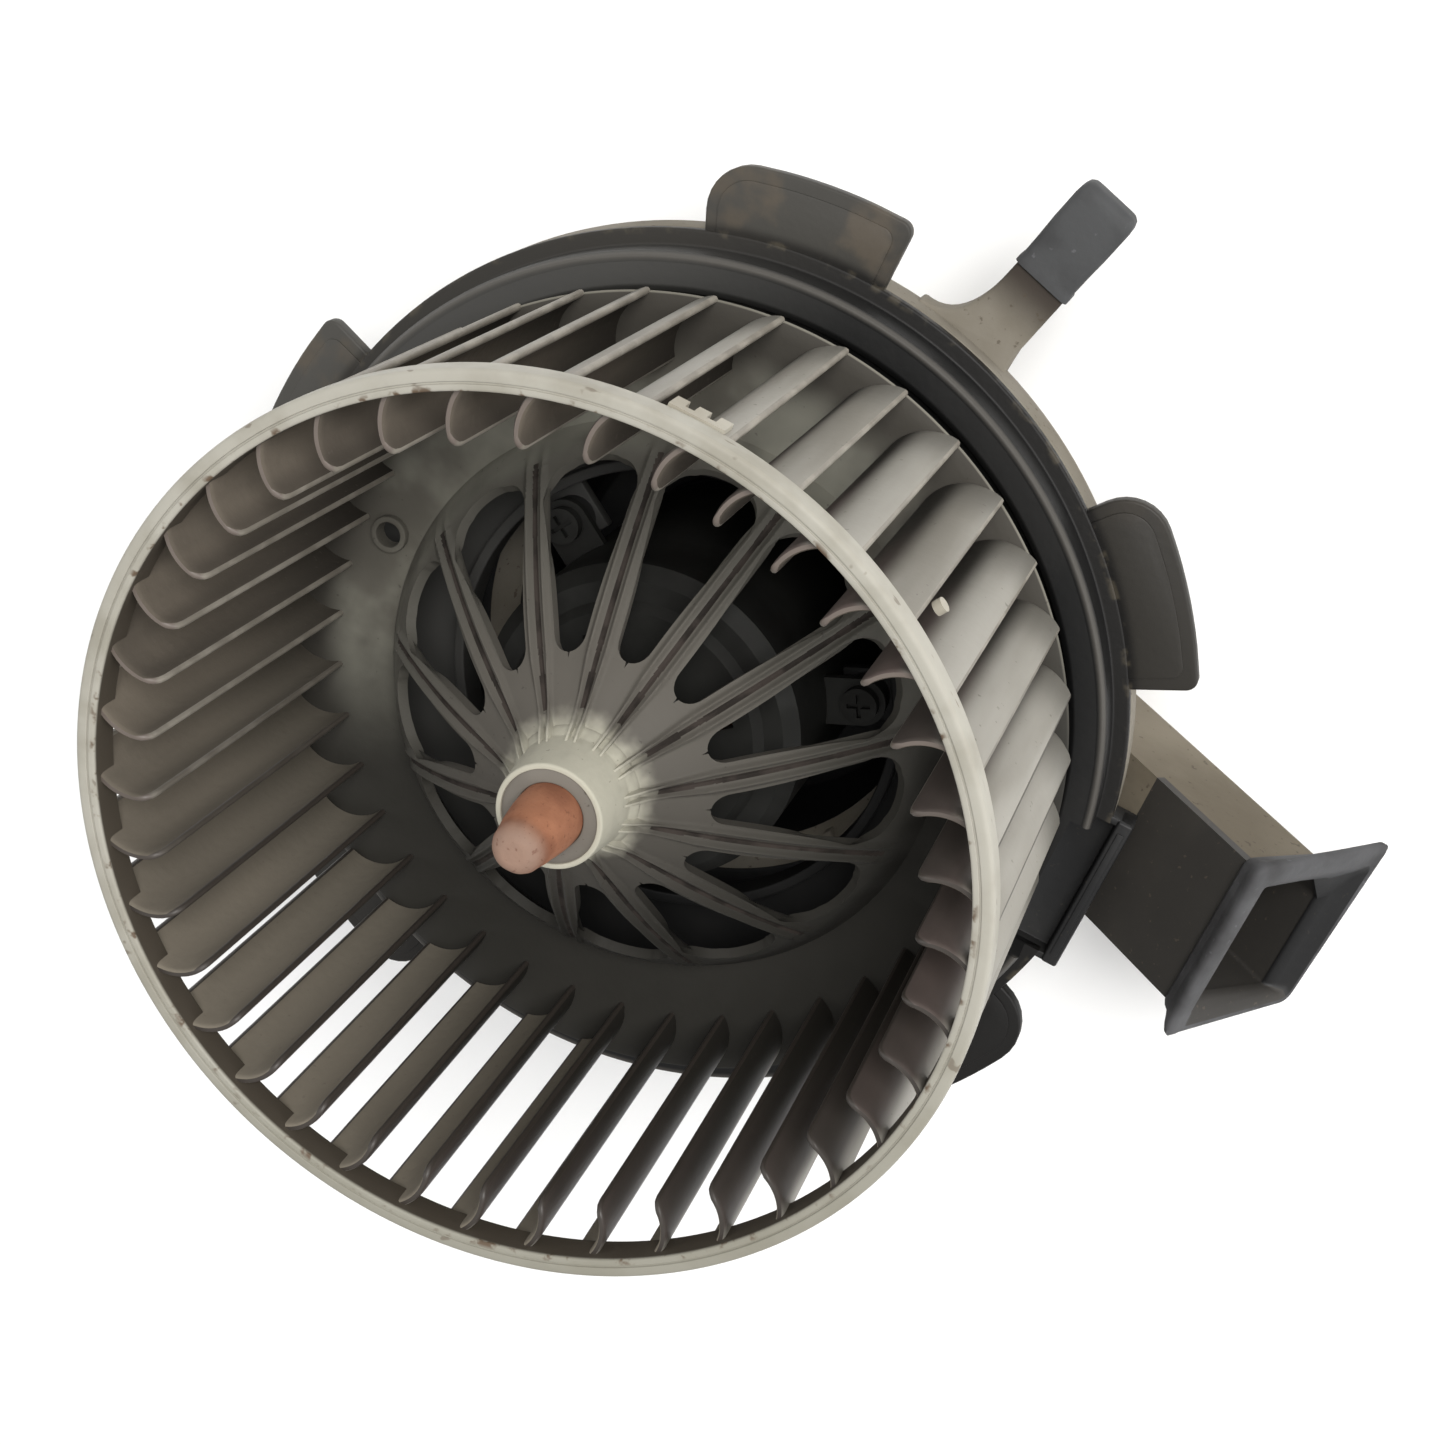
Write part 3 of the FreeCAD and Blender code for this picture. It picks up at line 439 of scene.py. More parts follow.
def wheel_edges():
    """Thin blade edges: cream-grey on the upper side, browner at the front ends, darkened by painted shade
    on the lower side.
    """
    paint = Paint("blade_edges", 0.5, specular=0.5)
    cloud = paint.noise(160.0, 4.0)
    colour = paint.mix(paint.levels(cloud, 0.4, 0.7), (152, 145, 133), (180, 173, 160))
    colour = paint.mix(paint.levels(paint.axis("Z"), 0.0778, 0.0788), colour, (132, 120, 111))
    # painted shade on the lower side in view
    colour = paint.mix(paint.lower_side(-25.0, 10.0), colour, (74, 67, 61))
    return paint.finished(colour, (600.0, 3.0, 0.12), (cloud, 0.3, 0.65))


def ring_material():
    """Cream ring: brown specks along its inner edge, painted shade on its inner wall and on the lower side.
    """
    paint = Paint("ring_cream", 0.5, specular=0.4)
    cloud = paint.noise(90.0, 4.0)
    colour = paint.mix(paint.levels(cloud, 0.38, 0.7), (208, 204, 191), (186, 181, 166))
    # painted shade on the lower side in view
    colour = paint.stain(colour, paint.lower_side(10.0, 60.0), 0.6, (166, 163, 147))
    radius = paint.radius()
    inner = paint.levels(radius, 0.07395, 0.0728)
    flecks = paint.flecks(330.0, 3.0, 0.56, 0.66)
    colour = paint.mix(paint.times(inner, flecks), colour, (118, 98, 78))
    stray = paint.levels(paint.noise(240.0, 2.0, (1.0, 1.0, 3.0)), 0.69, 0.74)
    colour = paint.stain(colour, stray, 0.6, (120, 104, 86))
    # painted shade on the inner wall below the ring's face
    below = paint.levels(paint.axis("Z"), 0.0809, 0.0803)
    inner_wall_shade = paint.times(paint.levels(radius, 0.0730, 0.07265), below)
    colour = paint.mix(inner_wall_shade, colour, (88, 80, 69))
    return paint.finished(colour, (500.0, 3.0, 0.08), (cloud, 0.45, 0.65))


def web_material():
    """Hub and spokes: cream by the hub, then grey, then darker on the rear disc among the blade roots and
    on the lower side, as painted shade.
    """
    paint = Paint("web_grey", 0.7, specular=0.25)
    cloud = paint.noise(42.0, 4.0)
    radius = paint.radius()
    # painted shade: the spokes darken on the lower side in view
    lower = paint.lower_side(-20.0, 48.0)
    spokes = paint.mix(paint.levels(radius, 0.018, 0.046), (118, 113, 105), (112, 109, 101))
    spokes = paint.mix(lower, spokes, (66, 64, 59))
    ragged = paint.math("ADD", radius, paint.times(paint.noise(300.0, 2.0), 0.0035))
    colour = paint.mix(paint.levels(ragged, 0.0112, 0.0162), (226, 222, 203), spokes)
    disc = paint.mix(paint.levels(cloud, 0.38, 0.62), (174, 172, 158), (122, 118, 108))
    # painted shade: the disc darkens towards the blade roots
    disc = paint.mix(paint.levels(radius, 0.060, 0.069), disc, (84, 80, 73))
    disc = paint.mix(paint.levels(radius, 0.07485, 0.0751), disc, (150, 146, 134))
    # painted shade: the disc darkens on the lower side in view
    disc = paint.mix(paint.lower_side(-30.0, 15.0), disc, (58, 56, 51))
    colour = paint.mix(paint.levels(radius, 0.047, 0.053), colour, disc)
    colour = paint.stain(colour, paint.levels(cloud, 0.5, 0.75), 0.2, (74, 70, 64))
    specks = paint.flecks(800.0, 2.0, 0.70, 0.76)
    colour = paint.stain(colour, specks, 0.4, (62, 57, 51))
    return paint.finished(colour, (450.0, 4.0, 0.14), (cloud, 0.55, 0.85))


def groove_material():
    """Brown dust that lies in the spoke grooves."""
    paint = Paint("groove_dust", 0.9, specular=0.15)
    colour = paint.mix(paint.flecks(200.0, 4.0, 0.4, 0.65), (82, 74, 69), (58, 53, 49))
    return paint.finished(colour, (600.0, 3.0, 0.15))


def rust_material():
    """Light orange rust on steel, greyer where the nose is rubbed."""
    paint = Paint("nose_rust", 0.75, specular=0.3)
    cloud = paint.noise(140.0, 6.0)
    colour = paint.mix(paint.levels(cloud, 0.35, 0.68), (204, 140, 106), (170, 112, 84))
    tip = paint.levels(paint.axis("Z"), 0.0755, 0.0798)
    colour = paint.stain(colour, tip, 0.75, (176, 152, 136))
    pits = paint.flecks(1200.0, 3.0, 0.62, 0.7)
    colour = paint.stain(colour, pits, 0.5, (120, 66, 46))
    return paint.finished(colour, (900.0, 4.0, 0.2), (cloud, 0.55, 0.85))


def flange_material():
    """Black satin plastic: a ridge line that is partly rubbed and partly painted highlight, painted sheen
    towards −X, painted shade on the outer shoulder, khaki dust on the outer shoulder, greyer tabs with
    brown on two of them.
    """
    paint = Paint("flange_black", 0.5, specular=0.3)
    cloud = paint.noise(45.0, 5.0)
    colour = paint.mix(paint.levels(cloud, 0.4, 0.7), (29, 29, 29), (37, 36, 35))
    radius = paint.radius()
    # painted sheen: 1 towards −X, where the satin plastic is drawn lighter
    painted_sheen = paint.levels(paint.axis("X"), 0.005, -0.05)
    top = paint.levels(paint.axis("Z"), 0.0055, 0.0066)
    # the ridge line is partly rubbed wear and partly a painted highlight along its rounded edge
    ridge = paint.times(paint.levels(radius, 0.0793, 0.0802), paint.levels(radius, 0.0811, 0.0806))
    ridge = paint.times(ridge, top)
    upper = paint.lower_side(-20.0, -60.0)
    # painted sheen lightens the flange towards −X
    colour = paint.mix(painted_sheen, colour, (84, 83, 80))
    colour = paint.stain(colour, ridge, 0.7, (110, 106, 100))
    # outer shoulder: darker as painted shade in the concave corner, lighter towards −X by painted sheen
    shoulder = paint.mix(painted_sheen, (26, 24, 22), (60, 57, 52))
    colour = paint.mix(paint.levels(radius, 0.0808, 0.0814), colour, shoulder)
    tab = paint.levels(radius, 0.0842, 0.0862)
    # tabs: greyer, and lighter towards −X as painted sheen
    second_colour = paint.mix(paint.levels(paint.axis("X"), 0.04, -0.06), (58, 55, 50), (88, 86, 81))
    colour = paint.mix(paint.times(tab, paint.lower_side(60.0, 10.0)), colour, second_colour)
    patch = paint.times(paint.flecks(75.0, 6.0, 0.50, 0.64), upper)
    colour = paint.stain(colour, paint.times(patch, tab), 0.55, (112, 100, 84))
    outer = paint.times(paint.levels(radius, 0.0826, 0.0836), paint.levels(radius, 0.0848, 0.0842))
    grit = paint.flecks(260.0, 5.0, 0.50, 0.66)
    colour = paint.stain(colour, paint.times(grit, outer), 0.5, (104, 96, 80))
    return paint.finished(colour, (700.0, 3.0, 0.08), (cloud, 0.42, 0.68))


def cover_material():
    """Rear housing: dark moulding under khaki dust, with the arm darker towards its end."""
    paint = Paint("cover_dusty", 0.8, specular=0.25)
    cloud = paint.noise(36.0, 6.0)
    colour = paint.mix(paint.levels(cloud, 0.35, 0.68), (166, 159, 146), (138, 130, 114))
    reach = paint.levels(paint.radius(), 0.0885, 0.099)
    colour = paint.mix(reach, colour, (74, 66, 59))
    specks = paint.flecks(700.0, 3.0, 0.64, 0.72)
    colour = paint.stain(colour, specks, 0.6, (96, 84, 70))
    return paint.finished(colour, (500.0, 4.0, 0.18))


def duct_side_material():
    """Khaki dust on the duct's sides, streaked along it."""
    paint = Paint("duct_khaki", 0.8, specular=0.25)
    streaks = paint.noise(45.0, 5.0, (0.5, 1.0, 0.5))
    colour = paint.mix(paint.levels(streaks, 0.35, 0.7), (160, 150, 132), (124, 114, 97))
    specks = paint.flecks(650.0, 3.0, 0.64, 0.72)
    colour = paint.stain(colour, specks, 0.6, (88, 78, 66))
    return paint.finished(colour, (500.0, 4.0, 0.15))


def rubber_material(name, base, second_colour):
    """Grey rubber with a dusty bloom."""
    paint = Paint(name, 0.72, specular=0.35)
    cloud = paint.noise(85.0, 5.0)
    colour = paint.mix(paint.levels(cloud, 0.38, 0.7), base, second_colour)
    specks = paint.flecks(500.0, 3.0, 0.67, 0.74)
    colour = paint.stain(colour, specks, 0.55, (128, 128, 132))
    return paint.finished(colour, (650.0, 4.0, 0.15), (cloud, 0.58, 0.85))


def metal_material(name, base, stain, roughness, metallic=0.85, scale=120.0):
    """Plain metal with a cloudy stain and fine scratches."""
    paint = Paint(name, roughness, metallic=metallic)
    cloud = paint.noise(scale, 5.0)
    colour = paint.mix(paint.levels(cloud, 0.4, 0.7), base, stain)
    return paint.finished(colour, (900.0, 3.0, 0.04), (cloud, max(0.1, roughness - 0.1), roughness + 0.15))


WHEEL_OUTSIDE = wheel_outside()
WHEEL_INSIDE = wheel_inside()
WHEEL_EDGE = wheel_edges()
RING_CREAM = ring_material()
WEB_GREY = web_material()
GROOVE_DUST = groove_material()
RUST = rust_material()
FLANGE_BLACK = flange_material()
COVER_DUSTY = cover_material()
DUCT_SIDE = duct_side_material()
DUCT_FRONT = moulded("duct_front_black", (64, 61, 57), (76, 72, 66), (100, 90, 78), 0.6, 0.6)
COLLAR_RUBBER = rubber_material("collar_rubber", (98, 98, 100), (70, 69, 70))
SLEEVE_RUBBER = rubber_material("sleeve_rubber", (86, 87, 88), (68, 68, 69))
HUB_FACE = moulded("hub_face_beige", (150, 144, 134), (128, 121, 112), (88, 80, 71), 0.52, 0.65)
POCKET_BLACK = moulded("pocket_black", (32, 32, 33), (44, 43, 42), (62, 57, 50), 0.62, 0.5)
CREAM_CLIP = moulded("clip_cream", (214, 208, 192), (188, 180, 162), (120, 106, 88), 0.55, 0.5)


# ---- fan wheel ----

def blade_section(t, trim, slim):
    """Points on the convex and the concave side at t along the blade, and the camber point."""
    inner = polar(BLADE_INNER_R, 0)
    outer = polar(BLADE_OUTER_R, BLADE_SWEEP_DEG)
    chord = outer - inner
    rise = math.sqrt(BLADE_CAMBER_R ** 2 - (chord.length / 2) ** 2)
    centre = (inner + outer) / 2 + Vector((chord.y, -chord.x, 0)).normalized() * rise
    start = inner - centre
    sweep = start.angle(outer - centre)
    sense = 1 if start.cross(outer - centre).z > 0 else -1
    along = trim + (1 - trim) * t
    spoke = Matrix.Rotation(sense * sweep * along, 3, "Z") @ start.normalized()
    half = (0.56 + 0.1 * smoothstep(0, 0.35, along)) * slim
    return centre + spoke * (BLADE_CAMBER_R + half), centre + spoke * (BLADE_CAMBER_R - half)


def blade_loop(trim, slim, steps=14):
    """Closed section of a blade, with rounded inner and outer edges."""
    convex = []
    concave = []
    for k in range(steps + 1):
        outside, inside = blade_section(k / steps, trim, slim)
        convex.append(outside)
        concave.append(inside)

    def nose(a, b, ahead):
        """Three points of a half-round edge from a to b."""
        middle = (a + b) / 2
        reach = (a - b).length / 2
        across = (a - b).normalized()
        return [middle + across * (reach * math.cos(angle)) + ahead * (reach * math.sin(angle))
                for angle in (math.pi / 4, math.pi / 2, 3 * math.pi / 4)]

    outward = (convex[-1] + concave[-1] - convex[-2] - concave[-2]).normalized()
    inward = (convex[0] + concave[0] - convex[1] - concave[1]).normalized()
    outer_edge = nose(convex[-1], concave[-1], outward)
    inner_edge = nose(concave[0], convex[0], inward)
    loop = convex + outer_edge + concave[::-1] + inner_edge
    kinds = [0] * steps + [2] * 4 + [1] * steps + [2] * 4
    return loop, kinds


def wheel_blades():
    """All blades as one mesh: convex side, concave side and edges have their own materials."""
    low, high = BLADE_Z
    body_rows = [low + (high - 3.0 - low) * k / 7 for k in range(8)]
    rows = [(z, 0.0, 1.0) for z in body_rows]
    rows += [(high - 1.6, 0.015, 1.0), (high - 0.8, 0.05, 0.95), (high - 0.3, 0.09, 0.82)]
    rows += [(high, 0.14, 0.5)]
    sections = [(z, *blade_loop(trim, slim)) for z, trim, slim in rows]
    verts = []
    faces = []
    chosen = []
    for number in range(BLADE_COUNT):
        base = len(verts)
        degrees = BLADE_FIRST_DEG + 360 / BLADE_COUNT * number
        wobble = 0.25 * noise.noise(Vector((number * 1.7, 0.3, 0.9)))
        for z, loop, _ in sections:
            lean = wobble * (z - low) / (high - low)
            verts += turned([(p.x, p.y, z) for p in loop], degrees + lean)
        count = len(sections[0][1])
        kinds = sections[0][2]
        for row in range(len(sections) - 1):
            near = base + row * count
            for k in range(count):
                following = (k + 1) % count
                faces.append((near + k, near + following, near + count + following, near + count + k))
                chosen.append(kinds[k])
        top = base + (len(sections) - 1) * count
        faces.append(tuple(range(top, top + count)))
        chosen.append(2)
    blades = make_mesh("wheel_blades", verts, faces, [WHEEL_OUTSIDE, WHEEL_INSIDE, WHEEL_EDGE], chosen)
    return piece(clean(blades, 0.001), "rotor", ["fan_wheel_blades"], sharp=50)


def intake_ring():
    """Front ring with rounded edges, a fine line on its face and a step on its outer wall."""
    (r_in, r_out), (z_low, z_high) = RING_R, RING_Z
    corners = [
        (r_in, z_low, 0.3), (r_out - 0.8, z_low, 0.3), (r_out - 0.8, z_low + 1.3, 0.1),
        (r_out, z_low + 1.4, 0.2), (r_out, z_high, 0.9), (r_in + 1.5, z_high, 0.12),
        (r_in + 1.4, z_high - 0.3, 0.05),
        (r_in + 1.15, z_high - 0.3, 0.05), (r_in + 1.05, z_high - 0.02, 0.12), (r_in, z_high - 0.1, 0.5),
    ]
    ring = lathe("wheel_ring", filleted(corners, 5), [RING_CREAM], 240)
    return piece(ring, "rotor", ["fan_wheel_ring"], sharp=50)


def slot_edge():
    """(radius, angle) pairs along one side of a slot, from its inner end to its outer corner."""
    inner_x, inner_r = SLOT_INNER
    corner_at, corner_r = SLOT_CORNER
    half = math.asin((8.6 - corner_r) / corner_at)
    inner = Vector((inner_x, 0))
    corner = Vector((corner_at * math.cos(half), corner_at * math.sin(half)))
    run = corner - inner
    lean = math.atan2(run.y, run.x) + math.acos((inner_r - corner_r) / run.length)
    points = []
    for k in range(9):
        angle = math.pi + (lean - math.pi) * k / 8
        points.append(inner + Vector((math.cos(angle), math.sin(angle))) * inner_r)
    for k in range(9):
        angle = lean + (half - lean) * k / 8
        points.append(corner + Vector((math.cos(angle), math.sin(angle))) * corner_r)
    return [(point.length, math.atan2(point.y, point.x)) for point in points]


SLOT_EDGE = slot_edge()


def slot_half_angle(radius):
    """Half of a slot's opening angle at a radius, in radians; 0 where the web is whole."""
    if radius <= SLOT_EDGE[0][0] or radius >= SLOT_CLOSE_R:
        return 0.0
    if radius >= SLOT_EDGE[-1][0]:
        rest = (radius - SLOT_OUTER_R) / (SLOT_CLOSE_R - SLOT_OUTER_R)
        return SLOT_EDGE[-1][1] * math.sqrt(max(0.0, 1 - rest * rest))
    for (r0, a0), (r1, a1) in zip(SLOT_EDGE, SLOT_EDGE[1:]):
        if r0 <= radius <= r1:
            return a0 + (a1 - a0) * (radius - r0) / max(1e-9, r1 - r0)
    return 0.0


def dome_height(radius):
    """Height of the web's upper face: a circular arc, a short cone and the flat rear disc."""
    (x1, y1), (x2, y2), (x3, y3) = DOME_POINTS
    if radius >= x3:
        return max(DISC_TOP_Z, y3 - (radius - x3) * (y3 - DISC_TOP_Z) / 3.0)
    d = 2 * (x1 * (y2 - y3) + x2 * (y3 - y1) + x3 * (y1 - y2))
    s1, s2, s3 = x1 * x1 + y1 * y1, x2 * x2 + y2 * y2, x3 * x3 + y3 * y3
    cx = (s1 * (y2 - y3) + s2 * (y3 - y1) + s3 * (y1 - y2)) / d
    cy = (s1 * (x3 - x2) + s2 * (x1 - x3) + s3 * (x2 - x1)) / d
    size = math.hypot(x1 - cx, y1 - cy)
    return cy + math.sqrt(size * size - (radius - cx) ** 2)


def rib_spread(radius):
    """Half of the distance between a spoke's two ribs."""
    return 0.75 + 0.8 * smoothstep(11, 24, radius)


def spoke_relief(radius, across):
    """Two raised ribs along a spoke, with a groove between them."""
    spread = rib_spread(radius)
    width = 0.30 + 0.22 * smoothstep(11, 24, radius)
    fade = smoothstep(10.2, 13.5, radius) * (1 - smoothstep(47, 53.5, radius))
    ribs = sum(math.exp(-((across - side * spread) / width) ** 2) for side in (-1, 1))
    groove = math.exp(-(across / (0.6 * width)) ** 2)
    return fade * (1.15 * ribs - 0.35 * groove)


def wheel_web():
    """Domed spider with ribbed spokes between teardrop slots, and the flat rear disc."""
    radii = [9.6 + 0.85 * k for k in range(14)]
    radii += [SLOT_EDGE[0][0] + 0.02 + 2.9 * (k / 6) ** 2 for k in range(7)]
    radii += [25.6 + 1.45 * k for k in range(12)]
    radii += [43.0 + 4.95 * math.sin(math.pi / 2 * k / 8) for k in range(9)]
    closing = SLOT_CLOSE_R - SLOT_OUTER_R
    radii += [SLOT_OUTER_R + closing * math.sin(math.pi / 2 * k / 6) for k in range(1, 7)]
    radii += [49.2, 50.0, 51.0, 52.0, 53.0, 53.6, 56.0, 60.0, 66.0, 72.0, 75.0, DISC_R]
    pitch = 2 * math.pi / SPOKE_COUNT
    columns = 44
    verts = []
    faces = []
    chosen = []
    for spoke in range(SPOKE_COUNT):
        start = math.radians(SLOT_FIRST_DEG) + pitch * spoke
        base = len(verts)
        for radius in radii:
            half = slot_half_angle(radius)
            for k in range(columns + 1):
                angle = half + (pitch - 2 * half) * k / columns
                across = radius * math.sin(angle - pitch / 2)
                z = dome_height(radius) + spoke_relief(radius, across)
                if radius > DISC_R - 0.1:
                    z -= 0.2
                verts.append((radius * math.cos(start + angle), radius * math.sin(start + angle), z))
        for row in range(len(radii) - 1):
            solid = pitch - 2 * slot_half_angle(radii[row])
            for k in range(columns):
                near = base + row * (columns + 1) + k
                faces.append((near, near + 1, near + columns + 2, near + columns + 1))
                middle = radii[row] * math.sin(solid * ((k + 0.5) / columns - 0.5))
                in_groove = abs(middle) < 0.5 and 13 < radii[row] < 49
                chosen.append(1 if in_groove else 0)
    web = clean(make_mesh("wheel_web", verts, faces, [WEB_GREY, GROOVE_DUST], chosen), 0.02)
    shell = web.modifiers.new("shell", "SOLIDIFY")
    shell.thickness = WEB_THICK * MM
    shell.offset = -1
    applied(web)
    at = polar(*BOSS_AT)
    hole = [at + polar(BOSS_HOLE_R, 360 * k / 28) for k in range(28)]
    cut(web, prism("boss_hole", hole, 5.0, 20.0, [WEB_GREY]))
    corners = [(BOSS_HOLE_R, 10.7, 0.0), (3.5, 10.7, 0.0), (3.5, 13.9, 0.3), (BOSS_HOLE_R, 13.9, 0.25)]
    boss = lathe("boss", filleted(corners, 3), [WEB_GREY], 32)
    boss.data.transform(Matrix.Translation(at * MM))
    web = joined("wheel_web", [web, boss])
    return piece(web, "rotor", ["fan_wheel_web"], sharp=42)


def wheel_hub():
    """Cream hub sleeve that grows out of the dome, with a thin rim round a recessed face."""
    corners = [
        (8.3, 46.0, 0.0), (10.6, 46.0, 0.0), (10.9, 51.5, 0.0), (11.6, 53.3, 1.5), (10.3, 55.4, 1.2),
        (9.25, HUB_FACE_Z, 0.55), (8.3, HUB_FACE_Z, 0.2), (8.3, 60.0, 0.0),
    ]
    hub = lathe("wheel_hub", filleted(corners, 5), [WEB_GREY], 96)
    piece(hub, "rotor", sharp=45)
    top = HUB_FACE_Z - 0.45
    corners = [(5.75, 46.0, 0.0), (8.4, 46.0, 0.0), (8.4, top, 0.1), (5.75, top, 0.35)]
    face = lathe("hub_insert_ring", filleted(corners, 4), [HUB_FACE], 72)
    return piece(face, "rotor", ["hub_insert"], sharp=45)


def hub_fins():
    """Thin tapered fins where the spoke ribs run up on to the hub."""
    verts = []
    faces = []
    for spoke in range(SPOKE_COUNT):
        middle = SLOT_FIRST_DEG + 360 / SPOKE_COUNT * (spoke + 0.5)
        for side in (-1, 1):
            base = len(verts)
            for radius, lift, half in FIN_STATIONS:
                offset = side * rib_spread(radius)
                z = dome_height(max(radius, DOME_POINTS[0][0])) + lift
                row = [(radius, offset + share * half, z - drop) for share, drop in FIN_PROFILE]
                verts += turned(row, middle)
            for row in range(len(FIN_STATIONS) - 1):
                for k in range(4):
                    near = base + row * 5 + k
                    faces.append((near, near + 1, near + 6, near + 5))
    fins = make_mesh("hub_fins", verts, faces, [WEB_GREY])
    return piece(clean(fins, 0.001), "rotor", sharp=60)


def nose_cap():
    """Bullet-nosed sleeve on the shaft, with a blunt, slightly dented tip."""
    outline = [Vector((0.0, 46.0)), Vector((5.7, 46.0)), Vector((5.7, 66.4))]
    for k in range(1, 9):
        t = k / 8
        outline.append(Vector((5.7 - 1.25 * t ** 1.35, 66.4 + 10.4 * t)))
    for k in range(1, 7):
        angle = math.pi / 2 * k / 6
        outline.append(Vector((1.7 + 2.75 * math.cos(angle), 76.8 + 3.2 * math.sin(angle))))
    outline.append(Vector((0.0, 79.75)))
    cap = lathe("shaft_nose", outline, [RUST], 72)
    for vert in cap.data.vertices:
        spot = Vector(vert.co) / MM
        depth = noise.noise(spot * 0.45)
        if spot.z > 66:
            vert.co += Vector((spot.x, spot.y, 0)).normalized() * depth * 0.10 * MM
    return piece(cap, "rotor", ["shaft_nose_cap"], sharp=60)


# ---- flange ----

def tab_outline(outer_r, big_corner, inset=0.0):
    """Bayonet tab's outline about +X: one large and one small rounded corner."""
    r_in = FLANGE_R - 2.0
    r_out = outer_r - inset
    half = TAB_HALF_DEG - math.degrees(inset / outer_r)

    def corner(radius, degrees, side):
        shift = math.degrees(math.asin(radius / (r_out - radius)))
        centre = polar(r_out - radius, degrees - side * shift)
        first = degrees + side * 90
        last = degrees - side * shift
        return [centre + polar(radius, first + (last - first) * k / 8) for k in range(9)]

    small = corner(2.2, -half, -1)
    big = corner(max(1.0, big_corner - inset), half, 1)
    top = [polar(r_out, -half + 3 + (2 * half - 9) * k / 8) for k in range(1, 8)]
    root = [polar(r_in, half * (1 - k / 4)) for k in range(9)]
    return small + top + big[::-1] + root


def tab_pieces():
    """The five tabs, each with a shallow raised panel."""
    made = []
    for degrees, outer_r, big_corner in TABS:
        outline = turned(tab_outline(outer_r, big_corner), degrees)
        tab = bevelled(prism("tab", outline, TAB_Z[0], TAB_Z[1], [FLANGE_BLACK]), 0.5, 3)
        made.append(tab)
        panel = turned(tab_outline(outer_r, big_corner, 2.4), degrees)
        raised = prism("panel", panel, TAB_Z[1] - 0.8, TAB_Z[1] + 0.28, [FLANGE_BLACK])
        made.append(bevelled(raised, 0.25, 2))
    return made


def pocket_block(name, x_span, half, z_span):
    """Block of the latch pocket, centred on the pocket's own direction."""
    return block(name, x_span, (-half, half), z_span, [POCKET_BLACK], POCKET_DEG)


def mounting_flange():
    """Plate and raised centring ring with the latch pocket and its straight outer wall."""
    corners = [
        (42.0, -1.5, 0.2), (76.4, -1.5, 0.2), (76.4, 3.8, 0.2), (78.8, 3.8, 0.2), (78.8, -2.0, 0.2),
        (FLANGE_R, -2.0, 0.3), (FLANGE_R, 0.0, 0.5), (81.0, 0.0, 0.5), (81.0, 5.9, 0.5), (80.3, 7.0, 0.55),
        (79.2, 6.75, 0.6), (75.2, 6.8, 0.8), (74.0, 5.6, 0.8), (74.0, 1.0, 0.8), (44.0, 1.0, 0.4),
        (44.0, 5.0, 0.4), (42.0, 5.0, 0.4),
    ]
    ring = lathe("flange", filleted(corners, 4), [FLANGE_BLACK], 288)
    cut(ring, pocket_block("pocket_cut", POCKET_X, POCKET_HALF, (-9.0, 12.0)))
    low, high = -6.0, 0.4
    inner_x, outer_x = POCKET_X
    tray = pocket_block("tray", (inner_x - 1.8, POCKET_WALL_X), POCKET_WALL_HALF, (low, high - 0.5))
    cut(tray, pocket_block("room", POCKET_X, POCKET_HALF, (-4.0, 12.0)))
    wall = pocket_block("wall", (outer_x, POCKET_WALL_X), POCKET_WALL_HALF, (low + 1.0, high))
    lip_x = (outer_x + 0.9, POCKET_WALL_X - 0.8)
    lip = pocket_block("lip", lip_x, POCKET_WALL_HALF - 2.2, (0.0, high + 0.25))
    parts = [ring, bevelled(tray, 0.25), bevelled(wall, 0.5, 3), bevelled(lip, 0.15)]
    for angle in MOTOR_LUG_DEG:
        finger = block("finger", (31.9, 43.0), (-5.0, 5.0), (-1.5, 1.0), [FLANGE_BLACK], angle)
        parts.append(bevelled(finger, 0.4))
    parts += tab_pieces()
    return piece(joined("flange", parts), "housing", ["mounting_flange"], sharp=40)


# ---- rear housing ----

def cover_arm():
    """Stop arm: a wide sweep into the rim on one side and a tight corner on the other."""
    low, high = ARM_Z
    root = FLANGE_R - 3.0
    outline = [(root, -ARM_HALF - 1.2, 0)]
    outline += [(root + 3.6, -ARM_HALF - 0.5, 0), (root + 6.5, -ARM_HALF, 0)]
    outline += [(117.0, -ARM_HALF, 0), (117.0, ARM_HALF, 0)]
    reach, foot = 14.5, 8.6
    for k in range(13):
        t = k / 12
        x = root + 2.4 + reach * (1 - t) ** 2
        y = ARM_HALF + foot * t ** 2
        outline.append((x, y, 0))
    outline.append((root, ARM_HALF + foot, 0))
    arm = prism("arm", turned(outline, ARM_DEG), low, high, [COVER_DUSTY])
    return bevelled(arm, 0.7, 3)


def cover_rib(degrees):
    """Tapered gusset on the back of the dish, deep at the cup and shallow at the rim."""
    profile = [(CUP_R + 0.2, -19.0), (CUP_R + 0.2, -42.0), (CUP_R + 3.0, -43.0)]
    profile += [(74.0, -16.5), (74.0, -12.0)]
    verts = [(x, side, z) for side in (-1.0, 1.0) for x, z in profile]
    count = len(profile)
    faces = [tuple(range(count)), tuple(range(2 * count - 1, count - 1, -1))]
    faces += [(k, k + count, (k + 1) % count + count, (k + 1) % count) for k in range(count)]
    verts = turned(verts, degrees)
    return bevelled(clean(make_mesh("rib", verts, faces, [COVER_DUSTY])), 0.4)


